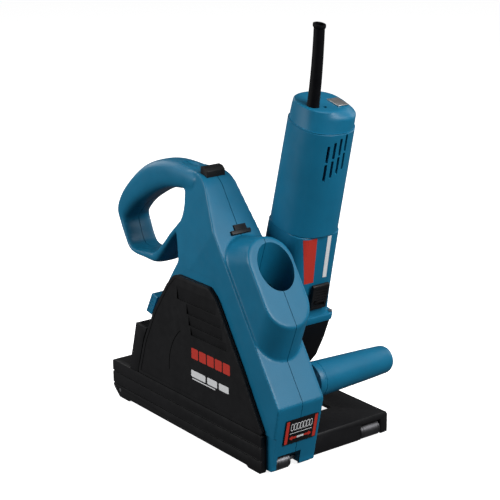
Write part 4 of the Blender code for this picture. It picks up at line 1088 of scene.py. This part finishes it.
def make_boot():
    steps = 120
    rings = []
    for k in range(steps + 1):
        share = k / steps
        centre = boot_place(share)
        radius = boot_radius(min(share, 0.996))
        rings.append([(*polar(centre.xy, radius, 2 * math.pi * i / 40), centre.z)
                      for i in range(40)])
    bore_rings = [[(*polar(boot_place(share).xy, BOOT_BORE, 2 * math.pi * i / 32),
                    boot_place(share).z + (4 if share == 1.0 else 0)) for i in range(32)]
                  for share in (0.2, 0.35, 0.5, 0.65, 0.8, 0.9, 1.0)]
    stand_for("cable_boot", combine(loft(rings), [loft(bore_rings)]), MOTOR)


def make_side_handle():
    """The side handle: a slight barrel with a domed end and a shallow ring at its root."""
    profile = [(0, 171.2), (6, 171.0), (9.5, 170.2), (12.2, 168.6), (13.6, 166.2), (14.2, 163),
               (15.4, 140), (16.6, 108), (17.2, 92), (17.5, 82), (17.7, 79.0), (17.3, 78.4),
               (17.3, 77.6), (17.7, 77.0), (17.7, 72.4), (17.2, 71.4), (16.4, 71.2), (6.3, 71.2),
               (6.3, 98), (0, 98)]
    stand_for("auxiliary_handle", turned(profile, "X", (0, *PIVOT), 96), smooth=28.0)


def make_rollers():
    """Turned rollers with relieved ends and a faint groove near each rim."""
    for node in ("roller_front_left", "roller_front_right", "roller_rear_left",
                 "roller_rear_right"):
        low, high = (in_machine(corner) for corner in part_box(node))
        centre = (low + high) / 2
        half = (high.x - low.x) / 2
        radius = (high.z - low.z) / 2
        side = [(2.3, -half), (radius - 1.6, -half), (radius - 0.5, -half + 0.35),
                (radius, -half + 1.2), (radius, -half + 2.6), (radius - 0.35, -half + 2.8),
                (radius - 0.35, -half + 3.2), (radius, -half + 3.4)]
        profile = side + [(r, -x) for r, x in reversed(side)]
        stand_for(node, turned(profile, "X", centre, 64), smooth=30.0)


SOFT_NODES = {"base_plate": 0.55, "rear_upstand": 0.9, "shell_clip": 0.35,
              "depth_stop_rail": 0.25, "depth_stop_slider": 0.5, "unlock_button": 0.7,
              "switch_slide": 0.45, "gear_case": 0.9, "swing_plate": 0.5,
              "rating_plate": 0.25}


def make_soft_nodes():
    for node, width in SOFT_NODES.items():
        soften_node(node, width)


# ---------------------------------------------------------------- stage, light and camera
CAMERA_AZIMUTH = math.radians(-36.877)
CAMERA_ELEVATION = math.radians(16.644)
CAMERA_ROLL = math.radians(-0.594)
CAMERA_PLACE = (-0.87397, -1.16125, 0.61258)
CAMERA_LENS = 108.0

# Studio: the glow of the sky and the floor, then each lamp's name, azimuth, elevation, size and power.
LAMP_TARGET = Vector((0.0, 0.0, 0.16))
LAMP_DISTANCE = 1.6
SKY_GLOW = 0.088
FLOOR_GLOW = 0.88
LAMPS = (("key", 14.0, 34.0, 0.9, 24.0),
         ("side", -112.0, 20.0, 0.9, 19.0),
         ("top", 10.0, 68.0, 0.9, 5.0),
         ("back", -178.0, 26.0, 0.9, 5.0), ("right", 85.0, 20.0, 0.9, 5.0))


def direction(azimuth, elevation):
    """From the object towards a viewer at that azimuth and elevation."""
    flat = math.cos(elevation)
    return Vector((math.sin(azimuth) * flat, -math.cos(azimuth) * flat, math.sin(elevation)))


def make_camera():
    back = direction(CAMERA_AZIMUTH, CAMERA_ELEVATION)
    right = Vector((math.cos(CAMERA_AZIMUTH), math.sin(CAMERA_AZIMUTH), 0.0))
    up = back.cross(right)
    turn = math.cos(CAMERA_ROLL), math.sin(CAMERA_ROLL)
    side = right * turn[0] + up * turn[1]
    head = up * turn[0] - right * turn[1]
    data = bpy.data.cameras.new("camera")
    data.lens = CAMERA_LENS
    camera = bpy.data.objects.new("camera", data)
    camera.matrix_world = Matrix.Translation(CAMERA_PLACE) @ Matrix(
        (side, head, back)).transposed().to_4x4()
    bpy.context.scene.collection.objects.link(camera)
    bpy.context.scene.camera = camera


def soft_box(name, azimuth, elevation, size, power):
    data = bpy.data.lights.new(name, "AREA")
    data.size = size
    data.energy = power
    lamp = bpy.data.objects.new(name, data)
    away = direction(math.radians(azimuth), math.radians(elevation))
    lamp.location = LAMP_TARGET + away * LAMP_DISTANCE
    lamp.rotation_euler = away.to_track_quat("Z", "Y").to_euler()
    bpy.context.scene.collection.objects.link(lamp)


def make_stage():
    material, tree, shader = shader_tree("paper")
    fibres = noise(tree, object_coords(tree), 260.0, 4.0)
    link(tree, mixed(tree, fibres, (0.86, 0.86, 0.86), (0.9, 0.9, 0.9)),
         shader.inputs["Base Color"])
    shader.inputs["Roughness"].default_value = 0.9
    shader.inputs["Emission Color"].default_value = (1.0, 1.0, 1.0, 1.0)
    shader.inputs["Emission Strength"].default_value = FLOOR_GLOW
    model = bmesh.new()
    bmesh.ops.create_grid(model, x_segments=1, y_segments=1, size=40.0)
    mesh = mesh_from(model)
    mesh.materials.append(material)
    floor = bpy.data.objects.new("floor", mesh)
    bpy.context.scene.collection.objects.link(floor)
    floor.visible_diffuse = False
    floor.visible_glossy = False
    world = bpy.data.worlds.new("studio")
    world.use_nodes = True
    sky = world.node_tree.nodes["Background"]
    sky.inputs["Color"].default_value = (0.94, 0.95, 0.96, 1.0)
    sky.inputs["Strength"].default_value = SKY_GLOW
    bpy.context.scene.world = world
    bpy.context.scene.view_settings.view_transform = "Standard"


def make_lights():
    for name, azimuth, elevation, size, power in LAMPS:
        soft_box(name, azimuth, elevation, size, power)


def main():
    make_camera()
    make_stage()
    make_lights()
    dress_cad_nodes()
    make_guard()
    make_cover()
    make_cover_marks()
    make_label()
    make_neck()
    make_neck_marks()
    make_sleeve()
    make_boot()
    make_side_handle()
    make_rollers()
    make_soft_nodes()


main()
